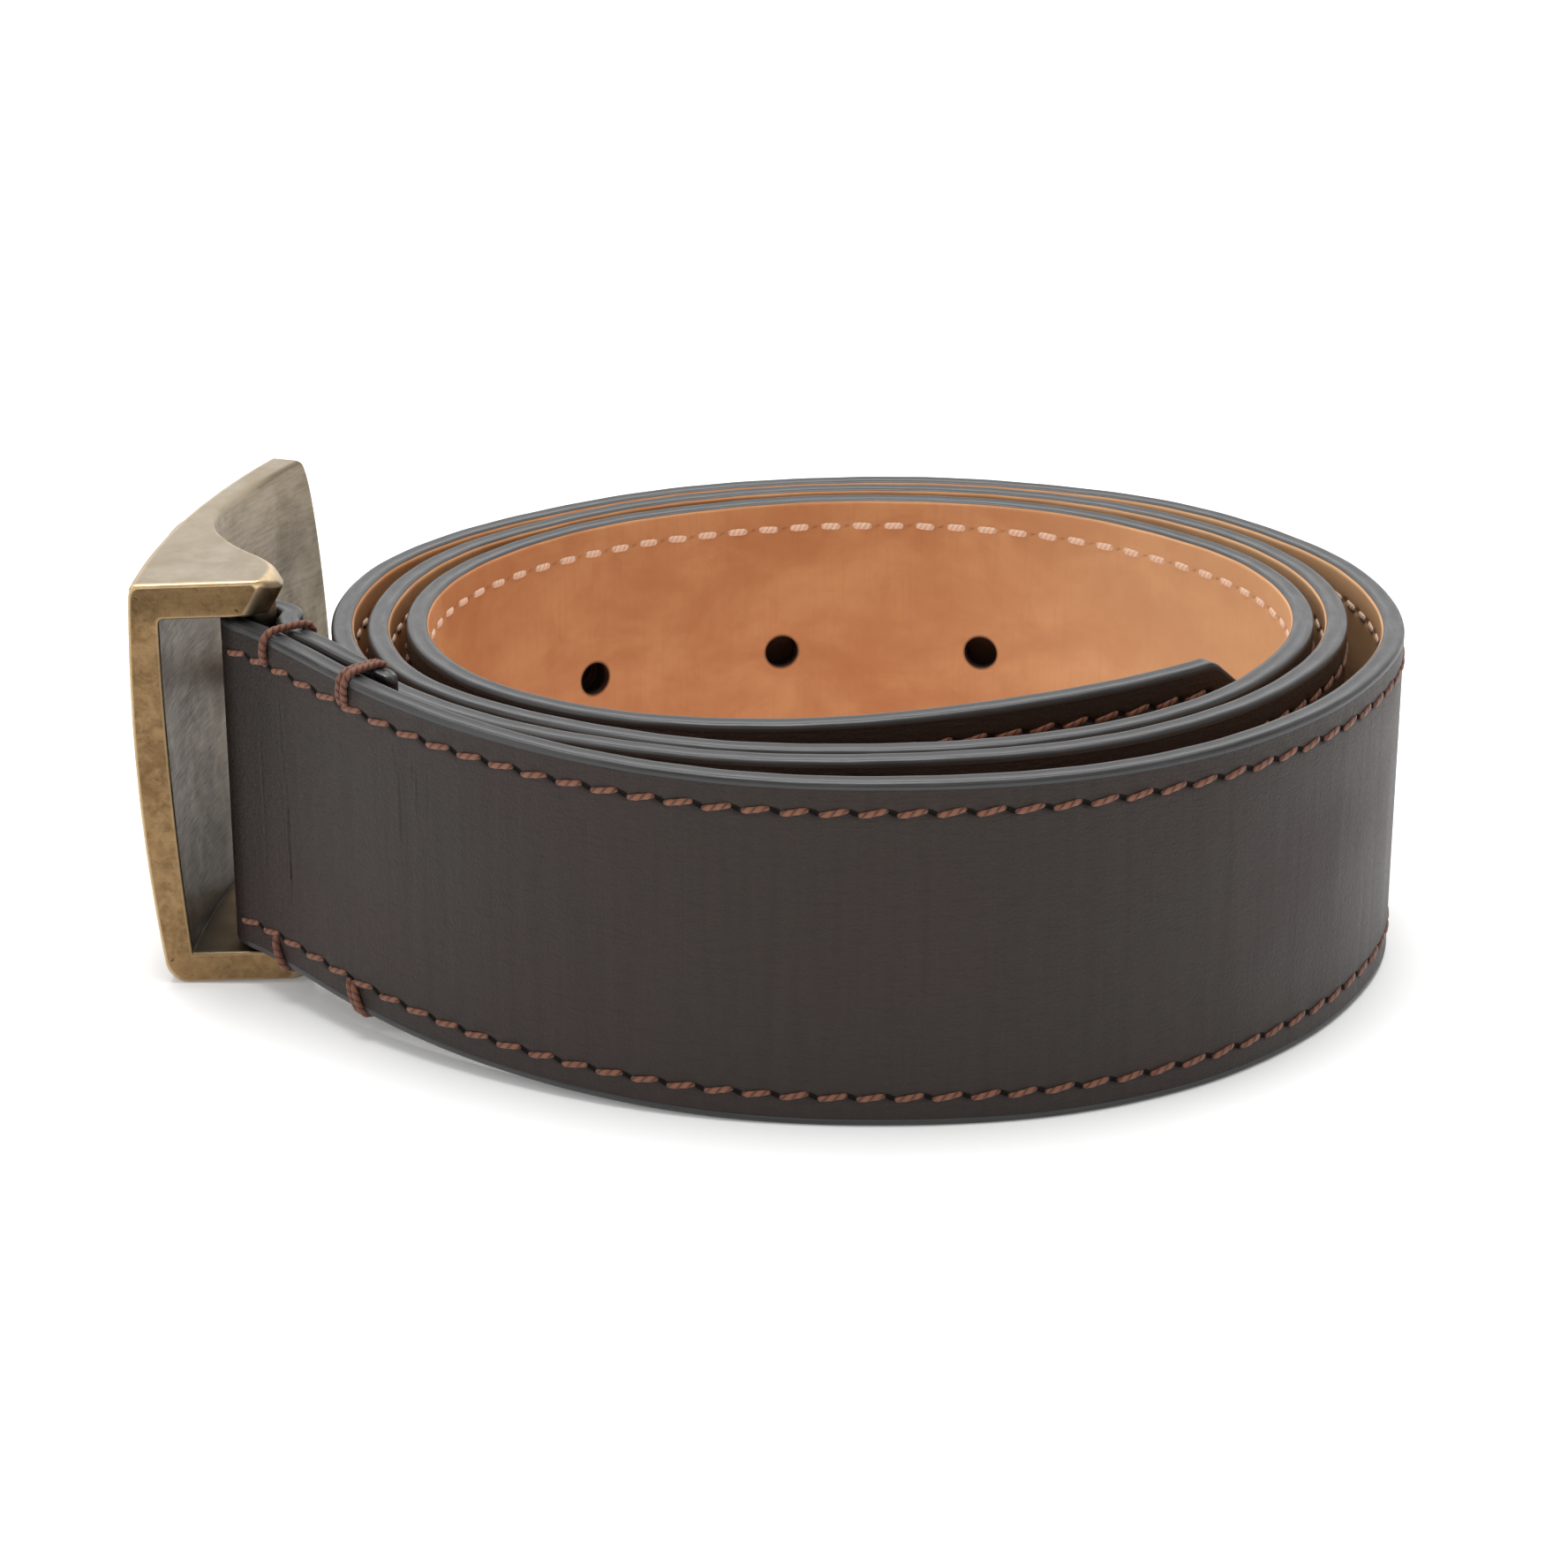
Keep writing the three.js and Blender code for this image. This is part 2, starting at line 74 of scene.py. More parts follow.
TOP_W = [(0, 13.75), (0.4, 14.0), (1.9, 14.35), (3.5, 14.5), (5.3, 14.5), (7.1, 14.0), (9.3, 12.7), (11.5, 10.65), (14.2, 8.4), (16.9, 6.5), (19.5, 4.9), (22.6, 3.55), (26.3, 2.6), (29.6, 2.36), (32.9, 2.36), (36.4, 2.61), (39.4, 3.02), (42.4, 3.36), (51, 3.6)]
PLATE_T = [(0, 3.1), (25, 3.2), (51, 3.8)]
STUD_S, STUD_V = 37.0, 23.25
RING_S, RING_V, RING_A, RING_B, RING_W, RING_H = 24.5, 23.25, 16.5, 20.2, 4.2, 1.22

ROUTE = [
    (-51.5, -26.65), (-56.4, -22.9), (-60.7, -18.65), (-63.35, -15.75),
    (-64.35, -12.7), (-64.25, -10.15), (-65.95, -8.35), (-68.38, -8.2), (-70.2, -9.85), (-70.4, -11.95), (-69.62, -13.32),
    (-67.5, -15.5), (-64.1, -19.2), (-60.0, -23.6), (-55.0, -28.25), (-46.3, -34.7), (-36.8, -40.2), (-27.8, -44.1),
    (-18.9, -46.7), (-10, -48.1), (-1.3, -48.5), (7.5, -48.05), (16.5, -46.4), (25.8, -42.85), (35.5, -36.8), (45.5, -26.6),
    (51.7, -16.3), (55.1, -7.5), (56.2, 1.0), (55.4, 10.0), (53.0, 18.5), (49.1, 25.8), (41.6, 35.3), (32.2, 42.6),
    (22.0, 47.1), (11.6, 49.8), (1.0, 50.7), (-9.6, 50.0), (-20.1, 47.6), (-30.5, 43.4), (-40.7, 36.7), (-50.0, 28.1),
    (-56.6, 18.2), (-59.3, 8.6), (-59.9, -0.4), (-58.2, -10.2), (-54.1, -19.1), (-46.75, -27.25), (-37.6, -33.9),
    (-28.2, -38.3), (-19.1, -41.2), (-10, -42.4), (-1.1, -42.4), (7.8, -41.4), (16.9, -39.1), (26.5, -34.75), (36.5, -26.9),
    (44.0, -17.2), (48.4, -8.0), (50.1, 0.5), (50.0, 9.0), (47.8, 18.0), (41.8, 28.7), (31.9, 38.0), (21.2, 43.7),
    (11.1, 46.7), (0.9, 47.4), (-9.3, 46.9), (-19.3, 44.7), (-29.1, 40.6), (-39.3, 33.5), (-48.2, 24.6), (-53.9, 13.0),
    (-55.9, -0.4), (-54.6, -9.2), (-51.6, -16.9), (-46.6, -23.2), (-37.4, -30.35), (-27.6, -35.35), (-18.6, -38.3),
    (-10, -39.5), (-1.1, -39.5), (7.4, -38.5), (16.1, -36.2), (25.3, -31.9), (35.4, -23.4), (42.3, -13.0), (45.5, -4.8),
    (46.5, 3.5), (45.3, 12.0), (41.1, 21.8), (31.9, 32.0), (23.0, 38.15), (11.8, 42.2), (0, 43.4), (-10.2, 42.5),
    (-20.8, 39.6), (-30.8, 35.0), (-40.4, 27.3), (-47.2, 18.4), (-50.8, 9.0), (-51.7, -0.4), (-50.5, -7.6), (-47.8, -14.1),
    (-43.6, -20.2), (-37.6, -25.3), (-28.3, -30.1), (-19.1, -32.2), (-10, -32.4), (-0.9, -30.8), (8.4, -28.0),
    (17.9, -24.0), (27.4, -18.8), (34.4, -13.9), (39.5, -9.6),
]


# ------------------------------------------------------------------ route of the strap
def catmull(points, n):
    """Centripetal Catmull-Rom through the points, the same curve that the design uses."""
    p = np.array(points, float)
    ext = np.vstack([2 * p[0] - p[1], p, 2 * p[-1] - p[-2]])
    out = np.empty((n + 1, 2))
    last = len(p) - 1
    for k in range(n + 1):
        t = last * k / n
        i = min(int(t), last - 1)
        w = t - i
        q0, q1, q2, q3 = ext[i:i + 4]
        d0, d1, d2 = (max(np.dot(b - a, b - a) ** 0.25, 1e-4) for a, b in ((q0, q1), (q1, q2), (q2, q3)))
        t1 = ((q1 - q0) / d0 - (q2 - q0) / (d0 + d1) + (q2 - q1) / d1) * d1
        t2 = ((q2 - q1) / d1 - (q3 - q1) / (d1 + d2) + (q3 - q2) / d2) * d1
        out[k] = q1 + t1 * w + (-3 * q1 + 3 * q2 - 2 * t1 - t2) * w * w + (2 * q1 - 2 * q2 + t1 + t2) * w ** 3
    return out


def resample(p, n):
    s = np.concatenate([[0], np.cumsum(np.hypot(*np.diff(p, axis=0).T))])
    q = np.linspace(0, s[-1], n)
    return np.c_[np.interp(q, s, p[:, 0]), np.interp(q, s, p[:, 1])], q


LINE, LINE_S = resample(catmull(ROUTE, 9000), 5431)          # a point every 0.2 mm
STRAP_L = float(LINE_S[-1])


def nearest(x, y, s0, s1):
    m = (LINE_S >= s0) & (LINE_S <= s1)
    d = np.hypot(LINE[m, 0] - x, LINE[m, 1] - y)
    return float(LINE_S[m][np.argmin(d)])


S_LOOP0 = nearest(-63.35, -15.75, 0, 60)
S_LOOP1 = nearest(-67.5, -15.5, S_LOOP0 + 8, 90)
S_LEFT = nearest(-70.4, -11.95, S_LOOP0, S_LOOP1)
S_TACK1, S_TACK2 = S_LOOP1 + 3.6, S_LOOP1 + 16.5
S_HOLE = nearest(-11.6, 42.3, STRAP_L * 0.55, STRAP_L * 0.85)
HOLES = [S_HOLE + (i - 1) * HOLE_PITCH for i in range(5)]
# the lining of the turn outside each punched hole, seen through it, is darkened there as painted shade
SHADE_BEHIND_HOLES = [nearest(float(np.interp(x, LINE_S, LINE[:, 0])), float(np.interp(x, LINE_S, LINE[:, 1])), x - 340, x - 150) for x in HOLES]


def smooth_line():
    """The route with its small curvature steps evened out, except round the bar and at its ends."""
    p = LINE.copy()
    sigma = 2.6 / 0.2
    k = np.arange(-45, 46)
    w = np.exp(-0.5 * (k / sigma) ** 2)
    w /= w.sum()
    pad = np.vstack([2 * p[0] - p[45:0:-1], p, 2 * p[-1] - p[-2:-47:-1]])
    q = np.c_[np.convolve(pad[:, 0], w, "valid"), np.convolve(pad[:, 1], w, "valid")]
    m = np.clip((LINE_S - S_LOOP1 - 1) / 8, 0, 1)
    m = m * m * (3 - 2 * m)
    return p + (q - p) * m[:, None]


LINE = smooth_line()
_t = np.gradient(LINE, axis=0)
_k = np.ones(7) / 7
_t = np.c_[np.convolve(np.pad(_t[:, 0], 3, "edge"), _k, "valid"), np.convolve(np.pad(_t[:, 1], 3, "edge"), _k, "valid")]
_t /= np.hypot(_t[:, 0], _t[:, 1])[:, None]


def at(s):
    """Points, tangents and left-hand normals (towards the lining) at arc lengths s."""
    s = np.clip(np.atleast_1d(np.asarray(s, float)), 0, STRAP_L)
    x = np.interp(s, LINE_S, LINE[:, 0])
    y = np.interp(s, LINE_S, LINE[:, 1])
    tx = np.interp(s, LINE_S, _t[:, 0])
    ty = np.interp(s, LINE_S, _t[:, 1])
    n = np.hypot(tx, ty)
    return x, y, tx / n, ty / n, -ty / n, tx / n


_LS = np.arange(-8, 90, 0.25)
_LV = np.convolve(np.pad(np.interp(_LS, [a for a, _ in LIFT], [b for _, b in LIFT]), 8, "edge"), np.ones(17) / 17, "valid")


def lift(s):
    """How far the strap is held off the table by the buckle."""
    s = np.asarray(s, float)
    return np.interp(np.where(s < S_LEFT, np.maximum(0, S_LOOP0 - s) + 7.7, s - S_LEFT), _LS, _LV)


def tip_drop(s):
    """How much the clipped corners take off each edge near the tip, with the corners eased."""
    u = (np.asarray(s, float) - (STRAP_L - TIP_CHAMFER)) / TIP_CHAMFER
    e = 0.12
    soft = np.where(u < -e, 0.0, np.where(u > e, u, (u + e) ** 2 / (4 * e)))
    return TIP_DROP * np.minimum(soft, 1.0)


def place(s, o, h):
    """World points, in metres in the row frame, for strap coordinates: along, towards the lining, and up from the lower edge."""
    s, o, h = np.broadcast_arrays(np.asarray(s, float), np.asarray(o, float), np.asarray(h, float))
    x, y, _, _, nx, ny = at(s.ravel())
    out = np.empty((s.size, 3))
    out[:, 0] = x + nx * o.ravel()
    out[:, 1] = y + ny * o.ravel()
    out[:, 2] = lift(s.ravel()) + h.ravel()
    return ((out - ORIGIN) * 0.001).reshape(s.shape + (3,))


rng = np.random.default_rng(7)


# ------------------------------------------------------------------ mesh helpers
def new_mesh(name, verts, faces, materials, body, node=None, attributes=None, face_material=None, sharp_angle=40):
    me = bpy.data.meshes.new(name)
    verts = np.asarray(verts, float)
    me.from_pydata(verts.tolist(), [], [list(map(int, f)) for f in faces])
    me.update()
    for key, (kind, data) in (attributes or {}).items():
        a = me.attributes.new(key, kind, "POINT")
        flat = np.asarray(data, np.float32).ravel()
        a.data.foreach_set("vector" if kind == "FLOAT_VECTOR" else "value", flat)
    for m in materials:
        me.materials.append(m)
    if face_material is not None:
        me.polygons.foreach_set("material_index", np.asarray(face_material, np.int32))
    ob = bpy.data.objects.new(name, me)
    bpy.context.scene.collection.objects.link(ob)
    shade(me, sharp_angle)
    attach(ob, body)
    if node:
        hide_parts(*([node] if isinstance(node, str) else node))
    return ob


def shade(me, sharp_angle):
    me.polygons.foreach_set("use_smooth", np.ones(len(me.polygons), bool))
    if sharp_angle is not None:
        me.set_sharp_from_angle(angle=math.radians(sharp_angle))


def grid_faces(n, k, closed_ring=True, start=0, flip=False):
    """Quads between n rings of k points each."""
    i = np.arange(n - 1)[:, None] * k
    j = np.arange(k if closed_ring else k - 1)[None, :]
    j2 = (j + 1) % k
    a, b, c, d = i + j, i + j2, i + k + j, i + k + j2
    q = np.stack([a, b, d, c] if not flip else [a, c, d, b], -1).reshape(-1, 4) + start
    return q


def tube(path, radius_u, radius_v, up, sides=10, twist=0.0, lobes=0, lobe=0.0, taper=None, plies_phase=0.0):
    """A closed tube along path (n,3). up (n,3) gives the v direction. Returns vertices and faces; ends are closed with a point."""
    path = np.asarray(path, float)
    n = len(path)
    t = np.gradient(path, axis=0)
    t /= np.linalg.norm(t, axis=1)[:, None]
    up = np.broadcast_to(np.asarray(up, float), path.shape)
    u = np.cross(up, t)
    u /= np.linalg.norm(u, axis=1)[:, None]
    v = np.cross(t, u)
    s = np.concatenate([[0], np.cumsum(np.linalg.norm(np.diff(path, axis=0), axis=1))])
    ru = np.full(n, radius_u) if taper is None else radius_u * taper
    rv = np.full(n, radius_v) if taper is None else radius_v * taper
    ang = np.linspace(0, 2 * np.pi, sides, endpoint=False)[None, :]
    m = 1 + (lobe * np.cos(lobes * (ang - twist * s[:, None]) + plies_phase) if lobes else 0)
    ring = path[:, None, :] + (ru[:, None] * m * np.cos(ang))[..., None] * u[:, None, :] + (rv[:, None] * m * np.sin(ang))[..., None] * v[:, None, :]
    verts = np.vstack([ring.reshape(-1, 3), path[0] - t[0] * 0.0, path[-1] + t[-1] * 0.0])
    faces = [list(f) for f in grid_faces(n, sides)]
    a, b = n * sides, n * sides + 1
    for j in range(sides):
        faces.append([a, (j + 1) % sides, j])
        faces.append([b, (n - 1) * sides + j, (n - 1) * sides + (j + 1) % sides])
    return verts, faces


class Batch:
    """Collects many small closed bodies into one mesh."""

    def __init__(self):
        self.v, self.f, self.a, self.n = [], [], [], 0

    def add(self, verts, faces, value=0.0, coord=None):
        self.v.append(verts)
        self.f += [[i + self.n for i in f] for f in faces]
        self.a.append(np.c_[np.full(len(verts), value), np.zeros((len(verts), 2))] if coord is None else coord)
        self.n += len(verts)

    def object(self, name, material, body, node, slot):
        return new_mesh(name, np.vstack(self.v), self.f, [material], body, node, {"thread": ("FLOAT_VECTOR", np.vstack(self.a))}, sharp_angle=None)


# ------------------------------------------------------------------ node materials
class Mat:
    """Short calls for building a node material."""

    def __init__(self, name):
        self.m = bpy.data.materials.new(name)
        self.m.use_nodes = True
        self.t = self.m.node_tree
        self.t.nodes.clear()
        self.out = self.t.nodes.new("ShaderNodeOutputMaterial")
        self.b = self.t.nodes.new("ShaderNodeBsdfPrincipled")
        self.t.links.new(self.b.outputs[0], self.out.inputs[0])

    def node(self, kind, **props):
        n = self.t.nodes.new(kind)
        for k, v in props.items():
            setattr(n, k, v)
        return n

    def link(self, a, b):
        self.t.links.new(a, b)

    def set(self, n, **values):
        for k, v in values.items():
            n.inputs[k].default_value = v

    def attr(self, name):
        return self.node("ShaderNodeAttribute", attribute_name=name).outputs["Vector"]

    def sep(self, v):
        n = self.node("ShaderNodeSeparateXYZ")
        self.link(v, n.inputs[0])
        return n.outputs

    def comb(self, x=0.0, y=0.0, z=0.0):
        n = self.node("ShaderNodeCombineXYZ")
        for i, v in enumerate((x, y, z)):
            self.put(v, n.inputs[i])
        return n.outputs[0]

    def put(self, v, sock):
        if isinstance(v, bpy.types.NodeSocket):
            self.link(v, sock)
        else:
            sock.default_value = v

    def math(self, op, a, b=0.0, c=0.0, clamp=False):
        n = self.node("ShaderNodeMath", operation=op, use_clamp=clamp)
        for i, v in enumerate((a, b, c)):
            self.put(v, n.inputs[i])
        return n.outputs[0]

    def ramp(self, f, lo, hi, a=0.0, b=1.0, smooth=True):
        n = self.node("ShaderNodeMapRange", interpolation_type="SMOOTHSTEP" if smooth else "LINEAR", clamp=True)
        self.put(f, n.inputs["Value"])
        n.inputs["From Min"].default_value = lo
        n.inputs["From Max"].default_value = hi
        n.inputs["To Min"].default_value = a
        n.inputs["To Max"].default_value = b
        return n.outputs[0]

    def noise(self, v, scale, detail=4.0, rough=0.55, distortion=0.0):
        n = self.node("ShaderNodeTexNoise")
        self.link(v, n.inputs["Vector"])
        n.inputs["Scale"].default_value = scale
        n.inputs["Detail"].default_value = detail
        n.inputs["Roughness"].default_value = rough
        n.inputs["Distortion"].default_value = distortion
        return n.outputs["Fac"]

    def voronoi(self, v, scale, feature="F1", out="Distance", rand=1.0):
        n = self.node("ShaderNodeTexVoronoi", feature=feature)
        self.link(v, n.inputs["Vector"])
        n.inputs["Scale"].default_value = scale
        n.inputs["Randomness"].default_value = rand
        return n.outputs[out]

    def mix(self, f, a, b, blend="MIX"):
        n = self.node("ShaderNodeMix", data_type="RGBA", blend_type=blend)
        self.put(f, n.inputs[0])
        self.put(a, n.inputs[6])
        self.put(b, n.inputs[7])
        return n.outputs[2]

    def scale(self, v, x, y, z):
        n = self.node("ShaderNodeVectorMath", operation="MULTIPLY")
        self.link(v, n.inputs[0])
        n.inputs[1].default_value = (x, y, z)
        return n.outputs[0]

    def bump(self, height, strength, distance, normal=None):
        n = self.node("ShaderNodeBump")
        self.put(height, n.inputs["Height"])
        n.inputs["Strength"].default_value = strength
        n.inputs["Distance"].default_value = distance
        if normal is not None:
            self.link(normal, n.inputs["Normal"])
        return n.outputs[0]

    def position(self):
        return self.node("ShaderNodeTexCoord").outputs["Object"]


def rgb(r, g, b):
    return (r, g, b, 1.0)


def slot_mask(m, s, h):
    """The slanted awl cut at the end of every stitch, on both rows: 1 inside the cut, 0 away from it."""
    ph = m.math("SUBTRACT", m.math("FRACT", m.math("ADD", m.math("DIVIDE", m.math("SUBTRACT", s, ROW_S0), PITCH), 0.5)), 0.5)
    ds = m.math("MULTIPLY", ph, PITCH)
    row = m.math("ADD", m.math("MULTIPLY", m.math("GREATER_THAN", h, STRAP_W / 2), STRAP_W - 2 * ROW_IN), ROW_IN)
    dh = m.math("SUBTRACT", h, row)
    c, q = math.cos(CUT_A), math.sin(CUT_A)
    u = m.math("ADD", m.math("MULTIPLY", ds, c), m.math("MULTIPLY", dh, q))
    v = m.math("SUBTRACT", m.math("MULTIPLY", dh, c), m.math("MULTIPLY", ds, q))
    d = m.math("SQRT", m.math("ADD", m.math("POWER", m.math("DIVIDE", u, 0.86), 2.0), m.math("POWER", m.math("DIVIDE", v, 0.31), 2.0)))
    near = m.math("MULTIPLY", m.ramp(m.math("ABSOLUTE", dh), 0.30, 0.62, 1.0, 0.0), m.ramp(s, ROW_S0 - 1.0, ROW_S0 + 0.5))
    return m.math("MULTIPLY", m.ramp(d, 0.80, 1.10, 1.0, 0.0), m.ramp(s, ROW_S0 - 1.0, ROW_S0 + 0.5)), near


def leather_outer():
    """Smooth dark brown calf: faint vertical drag lines, fine grain, and painted shade in the creases by the buckle, in
    the awl cuts and along the stitch groove. Strap coordinates are in mm.
    """
    m = Mat("outer_leather")
    c = m.attr("strap")
    s, o, h = m.sep(c)
    mark = m.sep(m.attr("mark"))[0]
    streak = m.noise(m.scale(c, 0.75, 0.0, 0.03), 1.0, 4.0, 0.6, 0.25)
    streak2 = m.noise(m.scale(c, 2.6, 0.0, 0.07), 1.0, 3.0, 0.6, 0.2)
    cloud = m.noise(m.scale(c, 0.040, 0.0, 0.055), 1.0, 3.0, 0.5)
    wrinkle = m.noise(m.scale(c, 0.32, 0.0, 2.2), 1.0, 4.0, 0.6, 0.5)
    grain = m.voronoi(m.scale(c, 3.4, 0.0, 3.4), 1.0)
    pores = m.noise(m.scale(c, 8.0, 0.0, 8.0), 1.0, 2.0, 0.6)
    speck = m.noise(m.scale(c, 2.1, 0.0, 2.1), 1.0, 5.0, 0.72)
    base = m.mix(m.ramp(cloud, 0.3, 0.7), rgb(*OUT_A), rgb(*OUT_B))
    base = m.mix(m.ramp(streak, 0.42, 0.70, 0.0, 0.20), base, rgb(OUT_A[0] * 0.55, OUT_A[1] * 0.55, OUT_A[2] * 0.55))
    base = m.mix(m.ramp(streak2, 0.50, 0.74, 0.0, 0.24), base, rgb(OUT_B[0] * 1.8, OUT_B[1] * 1.85, OUT_B[2] * 1.9))
    base = m.mix(m.ramp(speck, 0.50, 0.74, 0.0, 0.42), base, rgb(OUT_B[0] * 2.4, OUT_B[1] * 2.3, OUT_B[2] * 2.2))
    base = m.mix(m.ramp(pores, 0.32, 0.54, 0.50, 0.0), base, rgb(0.006, 0.004, 0.0035))
    # the line where the painted edge's bead meets the face
    bead = m.math("MULTIPLY", m.ramp(m.math("ABSOLUTE", m.math("SUBTRACT", m.math("ABSOLUTE", m.math("SUBTRACT", h, STRAP_W / 2)), 18.12)), 0.05, 0.20, 1.0, 0.0), 0.5)
    base = m.mix(bead, base, rgb(0.006, 0.005, 0.005))
    # painted shade: nearly black inside each awl cut, and darker along the stitch groove
    hole, near = slot_mask(m, s, h)
    base = m.mix(m.math("MULTIPLY", near, 0.30), base, rgb(0.008, 0.005, 0.0045))
    base = m.mix(m.math("MULTIPLY", hole, 0.93), base, rgb(0.0035, 0.0025, 0.002))
    # painted shade: the bend marks by the buckle are darkened
    base = m.mix(m.math("MULTIPLY", mark, 0.80, clamp=True), base, rgb(0.005, 0.0035, 0.003))
    base = m.mix(m.ramp(wrinkle, 0.50, 0.64, 0.0, 0.42), base, rgb(0.005, 0.0035, 0.003))
    m.link(base, m.b.inputs["Base Color"])
    rough = m.math("ADD", m.ramp(streak, 0.3, 0.7, 0.43, 0.49), m.ramp(cloud, 0.3, 0.7, -0.03, 0.05))
    rough = m.math("ADD", rough, m.ramp(speck, 0.3, 0.7, -0.05, 0.06))
    rough = m.math("ADD", rough, m.math("MULTIPLY", hole, 0.55))
    m.link(rough, m.b.inputs["Roughness"])
    m.set(m.b, **{"Specular IOR Level": 0.42, "IOR": 1.5, "Specular Tint": rgb(1.0, 0.91, 0.85)})
    top = m.ramp(h, 29.0, 36.0, 0.22, 1.0)
    n0 = m.bump(m.math("MULTIPLY", wrinkle, top), 0.70, 0.00014)
    height = m.math("ADD", m.math("MULTIPLY", streak, 0.6), m.math("MULTIPLY", streak2, 0.3))
    n1 = m.bump(height, 0.32, 0.00006, n0)
    n2 = m.bump(speck, 0.70, 0.00016, n1)
    n2 = m.bump(grain, 0.60, 0.00006, n2)
    n3 = m.bump(pores, 0.60, 0.00008, n2)
    m.link(n3, m.b.inputs["Normal"])
    return m.m


def crease_dark():
    """The bottom of a bend mark or an awl cut, where no light gets in: matt and nearly black."""
    m = Mat("crease_dark")
    c = m.attr("strap")
    tone = m.noise(m.scale(c, 2.0, 0.0, 0.6), 1.0, 3.0, 0.6)
    m.link(m.mix(m.ramp(tone, 0.35, 0.65), rgb(0.010, 0.007, 0.006), rgb(0.017, 0.012, 0.010)), m.b.inputs["Base Color"])
    m.set(m.b, Roughness=0.85, **{"Specular IOR Level": 0.16})
    return m.m


def edge_paint():
    """Dark painted, burnished edge: thin drag lines along the strap, small nicks and a soft gloss."""
    m = Mat("edge_paint")
    c = m.attr("strap")
    line = m.noise(m.scale(c, 0.045, 6.0, 6.0), 1.0, 5.0, 0.65, 0.25)
    line2 = m.noise(m.scale(c, 0.16, 11.0, 11.0), 1.0, 3.0, 0.6, 0.2)
    blot = m.noise(m.scale(c, 0.35, 1.4, 1.4), 1.0, 4.0, 0.55, 0.3)
    nick = m.noise(m.scale(c, 1.3, 3.0, 3.0), 1.0, 5.0, 0.7, 0.4)
    base = m.mix(m.ramp(line, 0.35, 0.7), rgb(0.013, 0.013, 0.014), rgb(0.040, 0.040, 0.042))
    base = m.mix(m.ramp(blot, 0.55, 0.8, 0.0, 0.5), base, rgb(0.055, 0.050, 0.047))
    base = m.mix(m.ramp(nick, 0.66, 0.76, 0.0, 0.55), base, rgb(0.007, 0.006, 0.006))
    m.link(base, m.b.inputs["Base Color"])
    r = m.math("ADD", m.ramp(line, 0.3, 0.7, 0.30, 0.44), m.ramp(blot, 0.3, 0.7, -0.03, 0.05))
    m.link(m.math("ADD", r, m.ramp(line2, 0.55, 0.75, 0.0, 0.10)), m.b.inputs["Roughness"])
    m.set(m.b, **{"Specular IOR Level": 0.55, "IOR": 1.5})
    n1 = m.bump(line, 0.45, 0.00005)
    n2 = m.bump(line2, 0.25, 0.00003, n1)
    n3 = m.bump(blot, 0.25, 0.00006, n2)
    m.link(n3, m.b.inputs["Normal"])
    return m.m


